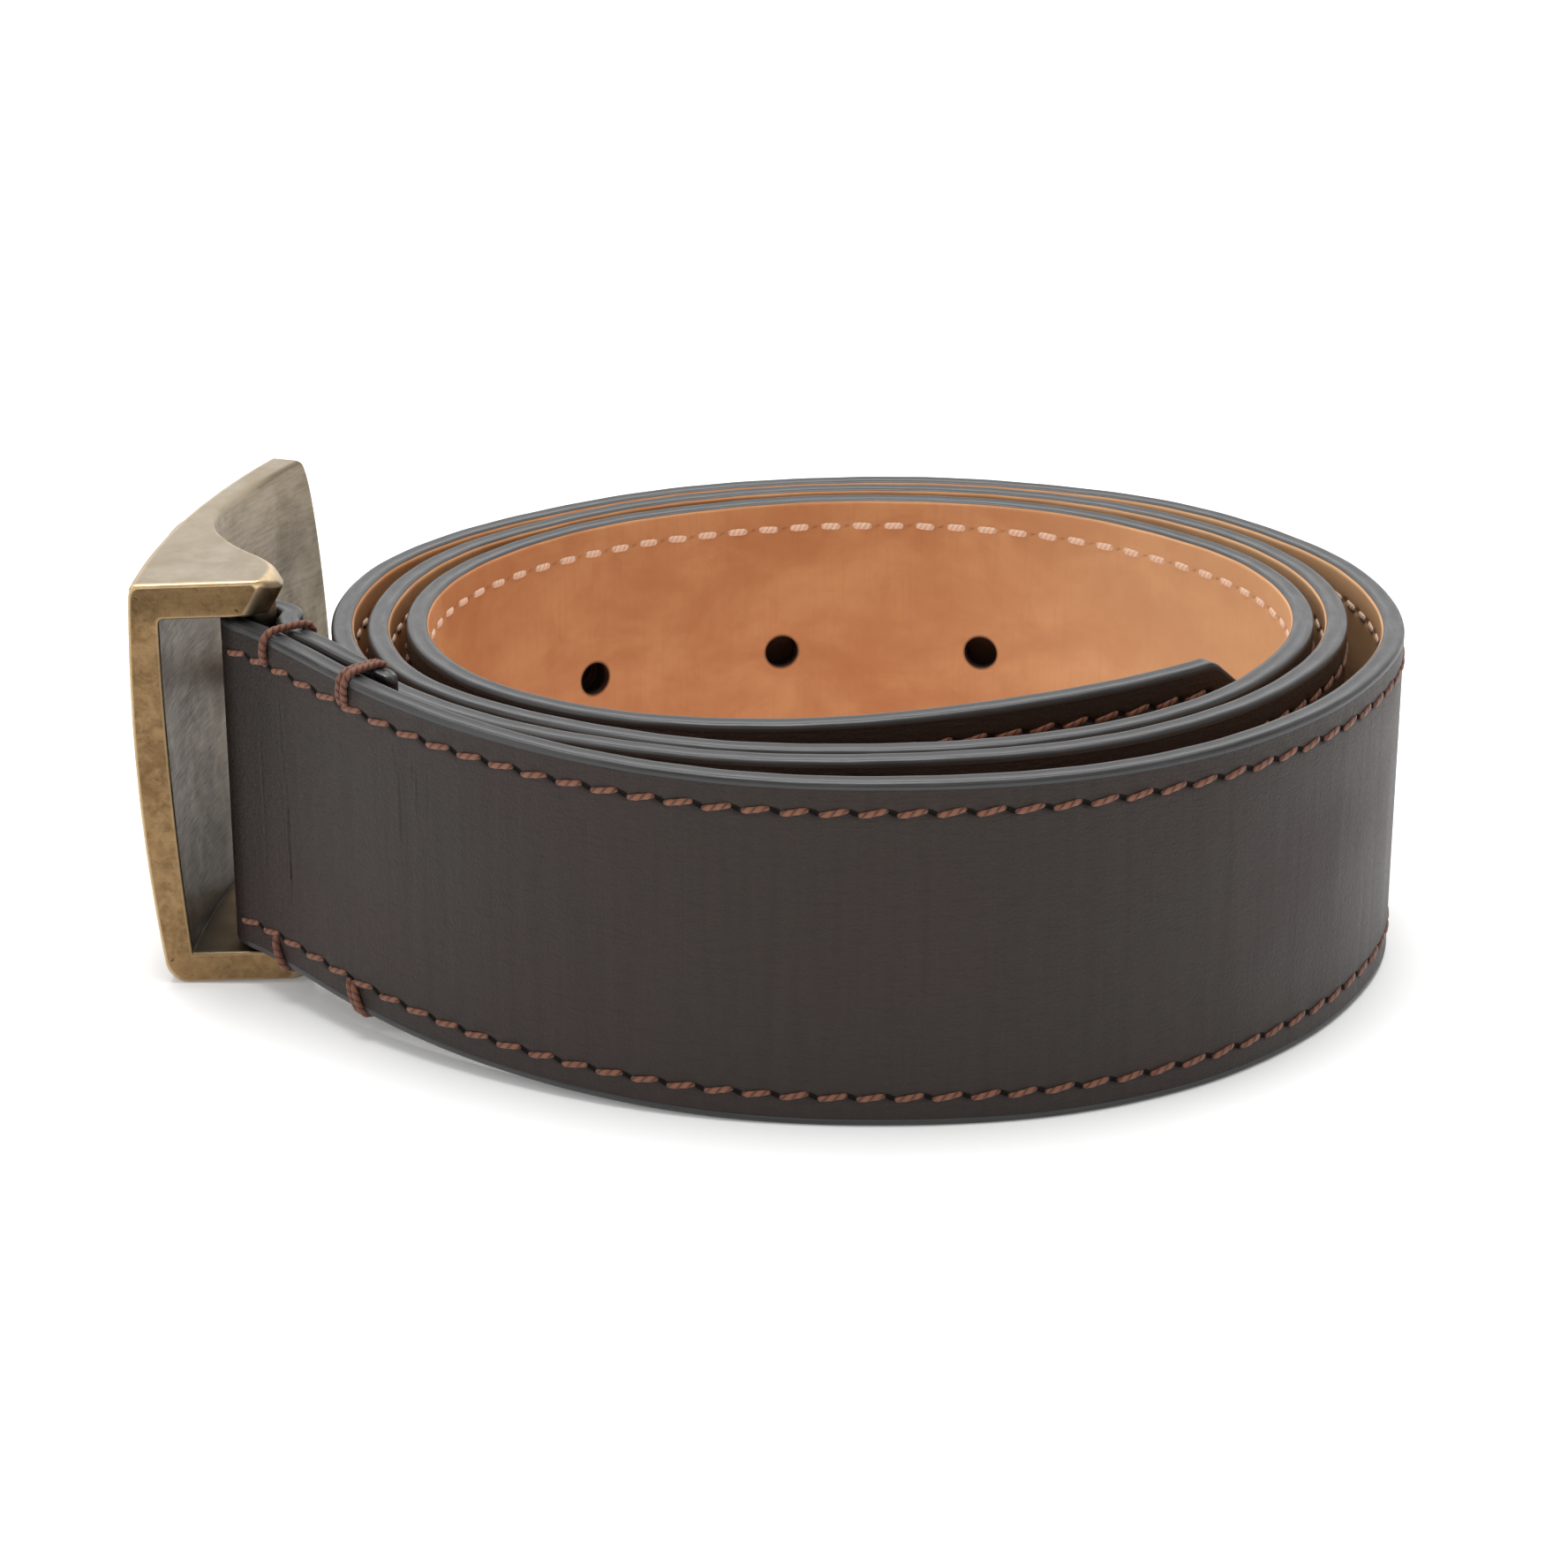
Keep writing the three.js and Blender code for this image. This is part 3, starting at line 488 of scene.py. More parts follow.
def leather_lining():
    """Natural tan vegetable-tanned lining: soft mottling, faint fibres across the width, a few darker marks."""
    m = Mat("lining_leather")
    c = m.attr("strap")
    s, o, h = m.sep(c)
    cloud = m.noise(m.scale(c, 0.07, 0.0, 0.10), 1.0, 4.0, 0.6, 0.4)
    blotch = m.noise(m.scale(c, 0.17, 0.0, 0.20), 1.0, 4.0, 0.55, 0.8)
    fibre = m.noise(m.scale(c, 1.6, 0.0, 0.10), 1.0, 4.0, 0.6, 0.4)
    spot = m.noise(m.scale(c, 0.35, 0.0, 0.22), 1.0, 5.0, 0.65, 0.6)
    grain = m.voronoi(m.scale(c, 4.0, 0.0, 4.0), 1.0)
    pores = m.noise(m.scale(c, 7.0, 0.0, 7.0), 1.0, 3.0, 0.6)
    base = m.mix(m.ramp(cloud, 0.3, 0.7), rgb(*TAN_A), rgb(*TAN_B))
    base = m.mix(m.ramp(blotch, 0.45, 0.75, 0.0, 0.35), base, rgb(TAN_A[0] * 0.92, TAN_A[1] * 0.82, TAN_A[2] * 0.72))
    base = m.mix(m.ramp(fibre, 0.45, 0.78, 0.0, 0.20), base, rgb(TAN_A[0] * 0.85, TAN_A[1] * 0.78, TAN_A[2] * 0.75))
    base = m.mix(m.ramp(spot, 0.66, 0.84, 0.0, 0.30), base, rgb(TAN_A[0] * 0.62, TAN_A[1] * 0.55, TAN_A[2] * 0.52))
    base = m.mix(m.ramp(pores, 0.62, 0.78, 0.0, 0.12), base, rgb(TAN_A[0] * 0.7, TAN_A[1] * 0.66, TAN_A[2] * 0.6))
    # painted light: the lining grows lighter and yellower towards +x, where the light falls on the inner wall of the
    # coil
    px = m.sep(m.position())[0]
    base = m.mix(m.ramp(px, 0.012, 0.056, 0.0, 0.42), base, rgb(0.84, 0.56, 0.32))
    # painted shade, darker in and round each punched hole, and paint strayed over the shoulder of the edge
    rim = None
    for x in HOLES:
        q = m.math("SQRT", m.math("ADD", m.math("POWER", m.math("SUBTRACT", s, x), 2.0), m.math("POWER", m.math("SUBTRACT", h, STRAP_W / 2), 2.0)))
        e = m.ramp(q, HOLE_R, HOLE_R + 0.40, 0.85, 0.0)
        rim = e if rim is None else m.math("MAXIMUM", rim, e)
    base = m.mix(rim, base, rgb(0.06, 0.020, 0.009))
    inside = m.ramp(o, 1.04, 1.13, 1.0, 0.0)
    base = m.mix(m.math("MULTIPLY", inside, 0.75), base, rgb(0.030, 0.020, 0.016))
    fold = m.math("MULTIPLY", m.ramp(s, S_LOOP1 + 17.0, S_LOOP1 + 22.0, 1.0, 0.0), m.ramp(m.math("ABSOLUTE", m.math("SUBTRACT", h, STRAP_W / 2)), 15.0, 16.5))
    # painted shade: the lining inside the loop round the bar is darkened
    fold = m.math("MAXIMUM", fold, m.ramp(s, S_LOOP1 + 2.0, S_LOOP1 + 6.0, 0.9, 0.0))
    base = m.mix(fold, base, rgb(0.018, 0.014, 0.012))
    # painted shade on the lining seen through each punched hole
    for x in SHADE_BEHIND_HOLES:
        q = m.math("SQRT", m.math("ADD", m.math("POWER", m.math("SUBTRACT", s, x), 2.0), m.math("POWER", m.math("SUBTRACT", h, STRAP_W / 2), 2.0)))
        base = m.mix(m.ramp(q, 2.6, 4.2, 0.93, 0.0), base, rgb(0.020, 0.010, 0.006))
    m.link(base, m.b.inputs["Base Color"])
    m.link(m.ramp(spot, 0.3, 0.8, 0.50, 0.62), m.b.inputs["Roughness"])
    m.set(m.b, **{"Specular IOR Level": 0.35, "IOR": 1.45, "Subsurface Weight": 0.0})
    n1 = m.bump(fibre, 0.20, 0.00005)
    n2 = m.bump(grain, 0.12, 0.00003, n1)
    n3 = m.bump(blotch, 0.25, 0.00020, n2)
    m.link(n3, m.b.inputs["Normal"])
    return m.m


def thread(name, dark, mid, light, rough, lay, deep=0.85):
    """Waxed twisted thread. Its coordinates are distance along it in mm, how near its end goes under, and position round it."""
    m = Mat(name)
    c = m.attr("thread")
    along, dip, turn = m.sep(c)
    p = m.position()
    fuzz = m.noise(m.scale(p, 9000.0, 9000.0, 9000.0), 1.0, 3.0, 0.65)
    tone = m.noise(m.scale(p, 700.0, 700.0, 700.0), 1.0, 2.0, 0.5)
    ply = m.math("FRACT", m.math("ADD", m.math("DIVIDE", along, lay), m.math("MULTIPLY", turn, 2.0)))
    groove = m.math("MULTIPLY", m.math("ABSOLUTE", m.math("SUBTRACT", ply, 0.5)), 2.0)
    round_ = m.ramp(groove, 0.30, 0.95, 1.0, 0.0)
    # painted highlight on the crown of each ply and painted shade in the grooves between the plies
    base = m.mix(m.math("MULTIPLY", round_, m.ramp(fuzz, 0.25, 0.7, 0.55, 1.0)), mid, light)
    base = m.mix(m.ramp(groove, 0.62, 0.95), base, dark)
    base = m.mix(m.ramp(tone, 0.35, 0.7, 0.0, 0.35), base, mid)
    # painted shade where each end of the thread goes under the leather
    base = m.mix(m.math("MULTIPLY", dip, deep, clamp=True), base, tuple(x * 0.22 for x in dark[:3]) + (1.0,))
    m.link(base, m.b.inputs["Base Color"])
    m.link(m.ramp(fuzz, 0.3, 0.7, rough, rough + 0.15), m.b.inputs["Roughness"])
    m.set(m.b, **{"Specular IOR Level": 0.4, "Sheen Weight": 0.15, "Sheen Roughness": 0.5})
    n1 = m.bump(round_, 0.55, 0.00007)
    m.link(m.bump(fuzz, 0.30, 0.00003, n1), m.b.inputs["Normal"])
    return m.m


def brass(name="aged_brass"):
    """Antiqued brass: greyed satin top, brown patina on the cut faces, dark inside with painted shade next to the strap
    and in the concave corners, and rims rubbed bright with a painted highlight.
    """
    m = Mat(name)
    w = m.attr("wear_and_painted_light")
    edge, brown, inner = m.sep(w)
    p = m.position()
    brush = m.noise(m.scale(p, 300.0, 300.0, 5200.0), 1.0, 3.0, 0.6)
    patch = m.noise(m.scale(p, 150.0, 150.0, 150.0), 1.0, 5.0, 0.62, 0.6)
    mottle = m.noise(m.scale(p, 620.0, 620.0, 620.0), 1.0, 5.0, 0.68, 0.5)
    fleck = m.noise(m.scale(p, 1700.0, 1700.0, 1700.0), 1.0, 4.0, 0.65)
    top = m.mix(m.ramp(patch, 0.32, 0.68), rgb(*TOP_A), rgb(*TOP_B))
    top = m.mix(m.ramp(mottle, 0.50, 0.75, 0.0, 0.12), top, rgb(TOP_A[0] * 0.74, TOP_A[1] * 0.70, TOP_A[2] * 0.64))
    pat = m.mix(m.ramp(mottle, 0.34, 0.66), rgb(*PAT_A), rgb(*PAT_B))
    pat = m.mix(m.ramp(patch, 0.40, 0.66, 0.0, 0.5), pat, rgb(PAT_B[0] * 1.25, PAT_B[1] * 1.22, PAT_B[2] * 1.15))
    pat = m.mix(m.ramp(fleck, 0.56, 0.74, 0.0, 0.5), pat, rgb(PAT_A[0] * 0.6, PAT_A[1] * 0.55, PAT_A[2] * 0.5))
    inn = m.mix(m.ramp(patch, 0.36, 0.66), rgb(*INN_A), rgb(*INN_B))
    inn = m.mix(m.ramp(mottle, 0.52, 0.76, 0.0, 0.28), inn, rgb(INN_A[0] * 0.7, INN_A[1] * 0.7, INN_A[2] * 0.68))
    px, py, pz = m.sep(p)
    # painted shade: inside, the hollow is darkened next to the strap and towards the foot
    low = m.math("MAXIMUM", m.ramp(pz, 0.005, 0.019, 0.74, 1.0), m.ramp(py, 0.002, 0.016))
    shade_ = m.comb(*(m.math("MULTIPLY", m.ramp(py, 0.000, 0.020, q, 1.0), low) for q in (0.46, 0.42, 0.37)))
    inn = m.mix(1.0, inn, shade_, blend="MULTIPLY")
    under = m.ramp(pz, 0.0415, 0.0440, 1.0, 0.60)
    pat = m.mix(1.0, pat, m.comb(under, m.math("MULTIPLY", under, 0.97), m.math("MULTIPLY", under, 0.93)), blend="MULTIPLY")
    base = m.mix(inner, top, inn)
    base = m.mix(m.ramp(brown, 0.02, 0.98, smooth=False), base, pat)
    # painted shade: where the rub value is below zero, in the concave corners by the flanges, the colour goes almost
    # black
    base = m.mix(m.ramp(edge, -0.80, -0.10, 0.98, 0.0, smooth=False), base, rgb(0.006, 0.004, 0.003))
    # wear and painted highlight: rubbed rims take the bright brass colour
    rub_and_glint = m.math("MULTIPLY", m.ramp(edge, 0.15, 0.85), m.ramp(mottle, 0.30, 0.66, 1.0, 0.62), clamp=True)
    base = m.mix(rub_and_glint, base, rgb(*RUB_AND_GLINT))
    m.link(base, m.b.inputs["Base Color"])
    rough = m.math("ADD", m.ramp(brush, 0.3, 0.7, 0.36, 0.47), m.ramp(patch, 0.3, 0.7, 0.05, -0.03))
    rough = m.math("ADD", rough, m.math("MULTIPLY", brown, 0.06))
    rough = m.math("SUBTRACT", rough, m.math("MULTIPLY", rub_and_glint, 0.06))
    m.link(rough, m.b.inputs["Roughness"])
    m.set(m.b, **{"Metallic": 1.0, "Anisotropic": 0.2})
    n1 = m.bump(brush, 0.09, 0.00002)
    n2 = m.bump(fleck, 0.12, 0.00002, n1)
    n3 = m.bump(mottle, 0.10, 0.00004, n2)
    m.link(n3, m.b.inputs["Normal"])
    return m.m


OUT_A, OUT_B = (0.0125, 0.0086, 0.0064), (0.0200, 0.0102, 0.0092)
TAN_A, TAN_B = (0.505, 0.212, 0.083), (0.625, 0.305, 0.134)
TOP_A, TOP_B = (0.290, 0.236, 0.164), (0.325, 0.268, 0.190)
PAT_A, PAT_B = (0.165, 0.104, 0.050), (0.275, 0.182, 0.094)
INN_A, INN_B = (0.190, 0.157, 0.113), (0.250, 0.208, 0.152)
# bright brass of the rubbed rims, also a painted highlight
RUB_AND_GLINT = (0.82, 0.60, 0.33)
CUT_A = math.radians(-25)
ROW_S0 = S_LEFT + 0.6
LEATHER, EDGE, TAN, DARK = leather_outer(), edge_paint(), leather_lining(), crease_dark()
LAY = 1.15
RUST = thread("brown_thread", rgb(0.050, 0.016, 0.009), rgb(0.140, 0.047, 0.023), rgb(0.240, 0.090, 0.044), 0.5, LAY)
RUST_DARK = thread("brown_tack_thread", rgb(0.040, 0.013, 0.008), rgb(0.105, 0.033, 0.017), rgb(0.200, 0.068, 0.033), 0.52, 0.80)
CREAM = thread("cream_thread", rgb(0.70, 0.42, 0.28), rgb(0.82, 0.56, 0.41), rgb(0.90, 0.68, 0.52), 0.55, 0.62, 0.2)
BRASS = brass()


# ------------------------------------------------------------------ strap
def stations(s0, s1, step=0.40, fine=0.3):
    """Positions along the strap: fine round the bar and where it is creased, then about ten to a stitch."""
    a = np.arange(s0, S_LOOP0 - 1, step) if s0 < S_LOOP0 - 1 else np.array([])
    b = np.arange(max(s0, S_LOOP0 - 1), S_LEFT, fine) if s0 < S_LEFT else np.array([])
    c = np.arange(S_LEFT, S_LEFT + 46, 0.11 if s0 < 1 else 0.4)
    d = np.arange(S_LEFT + 46, s1 - 8, step)
    e = np.arange(s1 - 8, s1 - 0.01, 0.2)
    return np.concatenate([a, b, c, d, e, [s1]])


def row_dent(s, h):
    """Depth of the leather's dent along the stitches and of the slanted awl cuts, in mm."""
    f = ((s - ROW_S0) / PITCH + 0.5) % 1.0 - 0.5
    ds = f * PITCH
    dh = np.where(h > STRAP_W / 2, h - (STRAP_W - ROW_IN), h - ROW_IN)
    u = ds * math.cos(CUT_A) + dh * math.sin(CUT_A)
    v = dh * math.cos(CUT_A) - ds * math.sin(CUT_A)
    cut = np.exp(-((u / 0.74) ** 2 + (v / 0.31) ** 2) ** 1.5)
    depth = 0.07 * np.exp(-(dh / 0.5) ** 2) + 0.30 * cut
    return depth * np.clip((s - ROW_S0 + 1.5) / 1.5, 0, 1)


# bend marks beside the buckle: (path as distance from the fold and height, depth, width)
CREASES = [
    ([(9.85, 31.5), (9.95, 29.5), (10.0, 26.8), (10.4, 23.2), (10.8, 18.5), (10.5, 15.2), (10.75, 11.0), (11.3, 7.0)], 0.20, 0.15),
    ([(6.4, 27.0), (6.1, 22.0), (6.3, 16.0), (6.0, 11.0)], 0.055, 0.20),
    ([(13.6, 29.0), (13.3, 22.0), (13.7, 15.0)], 0.018, 0.25),
    ([(16.9, 31.0), (17.3, 25.0), (16.9, 19.5)], 0.022, 0.22),
    ([(20.6, 29.0), (20.3, 23.0), (20.8, 14.0)], 0.016, 0.25),
    ([(27.6, 34.0), (28.4, 30.0), (28.6, 25.5), (28.5, 21.0)], 0.070, 0.15),
    ([(29.4, 33.6), (30.2, 31.4), (31.0, 28.6), (31.2, 25.0)], 0.080, 0.13),
    ([(31.8, 33.5), (32.4, 30.0), (32.3, 26.0)], 0.050, 0.15),
    ([(24.2, 32.0), (24.0, 27.0), (24.4, 20.0)], 0.018, 0.22),
    ([(36.5, 31.0), (36.9, 25.0), (36.7, 19.0)], 0.014, 0.25),
]


def crease(s, h, marks=False):
    """Creases across the strap where it has been bent beside the buckle, and soft swells between them."""
    s, h = np.broadcast_arrays(np.asarray(s, float), np.asarray(h, float))
    d = s - S_LEFT
    out = np.zeros(s.shape)
    for path, a, w in CREASES:
        hs = np.array([q[1] for q in path])[::-1]
        c = np.interp(h, hs, np.array([q[0] for q in path])[::-1]) + 0.05 * np.sin(h * 1.3 + path[0][0])
        fade = np.clip((h - hs[0]) / 3.0, 0, 1) * np.clip((hs[-1] - h) / 3.0, 0, 1)
        g = np.exp(-((d - c) / w) ** 2) * fade
        out = np.maximum(out, g * min(1.0, a / 0.20)) if marks else out + a * g - 0.25 * a * fade * np.exp(-((np.abs(d - c) - 2.6 * w) / (1.6 * w)) ** 2)
    if marks:
        return out
    band = np.clip(d / 4, 0, 1) * np.clip((46 - d) / 20, 0, 1) * np.clip((h - 2) / 6, 0, 1) * np.clip((36.5 - h) / 6, 0, 1)
    out = out + band * 0.016 * (np.sin(d * 1.35 + 0.9 * np.sin(h * 0.13)) + 0.7 * np.sin(d * 0.74 + 1.3 + 0.6 * np.sin(h * 0.19)))
    return out


FACE_H = np.array([0.8, 1.6, 2.1, 2.45, 2.7, 2.9, 3.1, 3.3, 3.5, 3.7, 3.9, 4.15, 4.7, 5.8, 8.0, 11.0, 13.5, 16.0, 19.0, 21.5, 24.0, 26.5, 29.0, 31.0, 32.6, 33.4, 33.85, 34.1, 34.3, 34.5, 34.7, 34.9, 35.1, 35.3, 35.55, 35.9, 36.4, 36.95, 37.2])
CAP = np.array([(-1.25, 37.34), (-1.245, 37.50), (-1.21, 37.68), (-1.13, 37.84), (-1.0, 37.95), (-0.84, 38.0), (-0.66, 37.985), (-0.46, 37.94), (-0.22, 37.905), (0.06, 37.905), (0.30, 37.945), (0.50, 37.988), (0.68, 37.99), (0.85, 37.94), (1.0, 37.85)])
SHOULDER = np.array([(1.02, 37.835), (1.10, 37.77), (1.17, 37.68), (1.225, 37.55), (1.248, 37.40)])


def strap_profile():
    """Closed outline of the outer leather with its painted edges: offset and height."""
    pts = [(-1.25, h) for h in FACE_H]
    pts += [tuple(p) for p in CAP]
    pts += [(1.0, 37.52), (0.34, 37.5), (0.34, 28.0), (0.34, 19.0), (0.34, 10.0), (0.34, 0.5), (1.0, 0.48)]
    pts += [(o, STRAP_W - h) for o, h in CAP[::-1]]
    return np.array(pts)


def build_strap():
    prof = strap_profile()
    k = len(prof)
    ss = stations(0.0, STRAP_L)
    n = len(ss)
    S = np.repeat(ss[:, None], k, 1)
    O = np.repeat(prof[None, :, 0], n, 0)
    H = np.repeat(prof[None, :, 1], n, 0)
    # thinned tail end
    thin = np.where(S < SKIVE_RUN, SKIVE_T + (1 - SKIVE_T) * S / SKIVE_RUN, 1.0)
    O = np.where(O < 0, O * thin, O)
    # clipped tip: the whole outline closes in, and its end is rounded like the edges
    drop = tip_drop(S)
    mid = STRAP_W / 2
    H0 = H.copy()
    H = mid + (H - mid) * (mid - drop) / mid
    end = np.clip((S - (STRAP_L - 1.1)) / 1.1, 0, 1)
    near = np.clip((1.1 - S) / 1.1, 0, 1)
    r = np.sqrt(np.clip(1 - np.maximum(end, near) ** 2 * 0.96, 0, 1))
    O = O * (0.25 + 0.75 * r)
    H = mid + (H - mid) * (1 - (1 - r) * 0.035)
    face = (prof[:, 0] == -1.25)
    dent = np.where(face[None, :], row_dent(S, H0) + crease(S, H0), 0.0)
    O = O + dent
    # the painted edge is a little uneven by hand
    wob = 0.022 * np.sin(S * 0.21 + 0.7) + 0.020 * np.sin(S * 0.057) + 0.012 * np.sin(S * 0.83 + H0) - 0.03
    H = H + np.where(H0 > 37.6, wob, 0.0)
    # the bead of paint stands a little proud of the face on both sides
    O = O + np.where((O < -1.0) & (np.abs(H0 - mid) > 18.3), -0.02, 0.0)
    v = place(S, O, H).reshape(-1, 3)
    faces = [list(f) for f in grid_faces(n, k)]
    faces.append(list(range(k - 1, -1, -1)))
    faces.append([(n - 1) * k + j for j in range(k)])
    nf = len(FACE_H)
    jm = np.array([0 if j < nf - 1 or False else 1 for j in range(k)])
    fm = np.concatenate([np.tile(jm, n - 1), [1, 1]])
    coord = np.stack([S, O, H0], -1).reshape(-1, 3)
    mark = np.where(face[None, :], crease(S, H0, True), 0.0).reshape(-1, 1) * np.ones((1, 3))
    deep = crease(S, H0, True)
    deep = np.where(face[None, :], deep, 0.0)
    nxt = np.roll(deep, -1, 1)
    quad = 0.25 * (deep[:-1] + deep[1:] + nxt[:-1] + nxt[1:])
    # painted shade: the deepest crease faces take the nearly black crease_dark material
    fm[:(n - 1) * k] = np.where((quad.reshape(-1) > 0.74) & (np.tile(jm, n - 1) == 0), 2, fm[:(n - 1) * k])
    ob = new_mesh("strap_leather", v, faces, [LEATHER, EDGE, DARK], "strap", "strap_outer_leather", {"strap": ("FLOAT_VECTOR", coord), "mark": ("FLOAT_VECTOR", mark)}, fm, 50)
    punch(ob, coord)
    return ob


def build_lining():
    """The tan lining: its face, its rounded shoulders, and the part that lies under the painted edge."""
    pts = [tuple(p) for p in SHOULDER] + [(1.25, h) for h in FACE_H[::-1]] + [(o, STRAP_W - h) for o, h in SHOULDER[::-1]]
    pts += [(1.015, 0.52), (0.38, 0.54), (0.38, 10.0), (0.38, 19.0), (0.38, 28.0), (0.38, 37.46), (1.015, 37.48)]
    prof = np.array(pts)
    k = len(prof)
    ss = stations(2.2, STRAP_L - 0.95)
    n = len(ss)
    S = np.repeat(ss[:, None], k, 1)
    O = np.repeat(prof[None, :, 0], n, 0)
    H0 = np.repeat(prof[None, :, 1], n, 0)
    drop = tip_drop(S)
    mid = STRAP_W / 2
    H = mid + (H0 - mid) * (mid - drop) / mid
    wob = 0.022 * np.sin(S * 0.21 + 0.7) + 0.020 * np.sin(S * 0.057) + 0.012 * np.sin(S * 0.83 + H0) - 0.03
    H = H + np.where(H0 > 37.6, wob, 0.0)
    end = np.clip((S - (STRAP_L - 2.2)) / 1.25, 0, 1)
    O = np.where(O > 1.0, O - 0.12 * end ** 2, O)
    face = (prof[:, 0] == 1.25)
    O = O - np.where(face[None, :], row_dent(S, H0) * 0.45, 0.0)
    v = place(S, O, H).reshape(-1, 3)
    faces = [list(f) for f in grid_faces(n, k)]
    faces.append(list(range(k - 1, -1, -1)))
    faces.append([(n - 1) * k + j for j in range(k)])
    coord = np.stack([S, O, H0], -1).reshape(-1, 3)
    ob = new_mesh("strap_lining_skin", v, faces, [TAN], "strap", "strap_lining", {"strap": ("FLOAT_VECTOR", coord)}, None, 50)
    punch(ob, coord)
    return ob


def punch(ob, coord):
    """Cuts the five round holes, then gives the new vertices their strap coordinates."""
    old = np.array([v.co for v in ob.data.vertices], float)
    verts, faces, base = [], [], 0
    sides = 40
    for s in HOLES:
        x, y, tx, ty, nx, ny = (float(q[0]) for q in at(s))
        c = (np.array([x, y, float(lift(s)) + STRAP_W / 2]) - ORIGIN) * 0.001
        nrm, tan, up = np.array([nx, ny, 0]), np.array([tx, ty, 0]), np.array([0, 0, 1.0])
        prof = [(-0.003, HOLE_R), (0.003, HOLE_R)]
        for d, r in prof:
            for j in range(sides):
                a = 2 * math.pi * (j + 0.5) / sides
                verts.append(c + nrm * d + 0.001 * r * (math.cos(a) * tan + math.sin(a) * up))
        for j in range(sides):
            faces.append([base + j, base + (j + 1) % sides, base + sides + (j + 1) % sides, base + sides + j])
        faces.append([base + j for j in range(sides - 1, -1, -1)])
        faces.append([base + sides + j for j in range(sides)])
        base += 2 * sides
    me = bpy.data.meshes.new("punch")
    me.from_pydata([list(v) for v in verts], [], faces)
    me.update()
    cut = bpy.data.objects.new("punch", me)
    fix_normals(cut)
    bpy.context.scene.collection.objects.link(cut)
    mod = ob.modifiers.new("punch", "BOOLEAN")
    mod.operation = "DIFFERENCE"
    mod.solver = "EXACT"
    mod.object = cut
    bpy.context.view_layer.update()
    dg = bpy.context.evaluated_depsgraph_get()
    new = bpy.data.meshes.new_from_object(ob.evaluated_get(dg), preserve_all_data_layers=True, depsgraph=dg)
    ob.modifiers.clear()
    name = ob.data.name
    oldme = ob.data
    ob.data = new
    bpy.data.meshes.remove(oldme)
    new.name = name
    bpy.data.objects.remove(cut)
    bpy.data.meshes.remove(me)
    tree = kdtree.KDTree(len(old))
    for i, p in enumerate(old):
        tree.insert(p, i)
    tree.balance()
    if "strap" in new.attributes:
        new.attributes.remove(new.attributes["strap"])
    marks = None
    a = new.attributes.new("strap", "FLOAT_VECTOR", "POINT")
    out = np.empty((len(new.vertices), 3), np.float32)
    for i, v in enumerate(new.vertices):
        p, j, d = tree.find(v.co)
        q = coord[j].copy()
        if d > 1e-6:
            f = at(q[0])
            dx, dy = (v.co.x - p.x) * 1000, (v.co.y - p.y) * 1000
            q[0] += dx * float(f[2][0]) + dy * float(f[3][0])
            q[1] += dx * float(f[4][0]) + dy * float(f[5][0])
            q[2] += (v.co.z - p.z) * 1000
        out[i] = q
        if d > 1e-6 and marks is not None:
            marks[i] = (0.0, 0.0, 0.0)
    a.data.foreach_set("vector", out.ravel())
    shade(new, 50)


# ------------------------------------------------------------------ stitches
def row_points(side_upper):
    """Strap coordinates of the awl holes of one row, from the loop to half way across the tip."""
    h = STRAP_W - ROW_IN
    s_end = STRAP_L - TIP_CHAMFER - 0.6
    n = int((s_end - ROW_S0) / PITCH)
    pts = [(ROW_S0 + i * PITCH, h) for i in range(n + 1)]
    s1 = pts[-1][0]
    line = np.array([(s1, h), (STRAP_L - TIP_CHAMFER + 0.3, h), (STRAP_L - 3.1, h - TIP_DROP * 0.62), (STRAP_L - 3.1, STRAP_W / 2)])
    d = np.concatenate([[0], np.cumsum(np.hypot(*np.diff(line, axis=0).T))])
    m = int(round(d[-1] / PITCH))
    for i in range(1, m + 1):
        q = d[-1] * i / m
        pts.append((float(np.interp(q, d, line[:, 0])), float(np.interp(q, d, line[:, 1]))))
    pts = np.array(pts)
    if not side_upper:
        pts[:, 1] = STRAP_W - pts[:, 1]
    return pts


def thread_coords(path, sides, dip):
    """Distance along a thread in mm, how far its ends go under, and position round it, for a tube's vertices."""
    d = np.concatenate([[0], np.cumsum(np.linalg.norm(np.diff(path, axis=0), axis=1))]) * 1000
    turn = np.arange(sides) / sides
    n = len(path)
    co = np.zeros((n * sides + 2, 3))
    co[:-2, 0] = np.repeat(d, sides)
    co[:-2, 1] = np.repeat(dip, sides)
    co[:-2, 2] = np.tile(turn, n)
    co[-2], co[-1] = (0, dip[0], 0), (d[-1], dip[-1], 0)
    return co


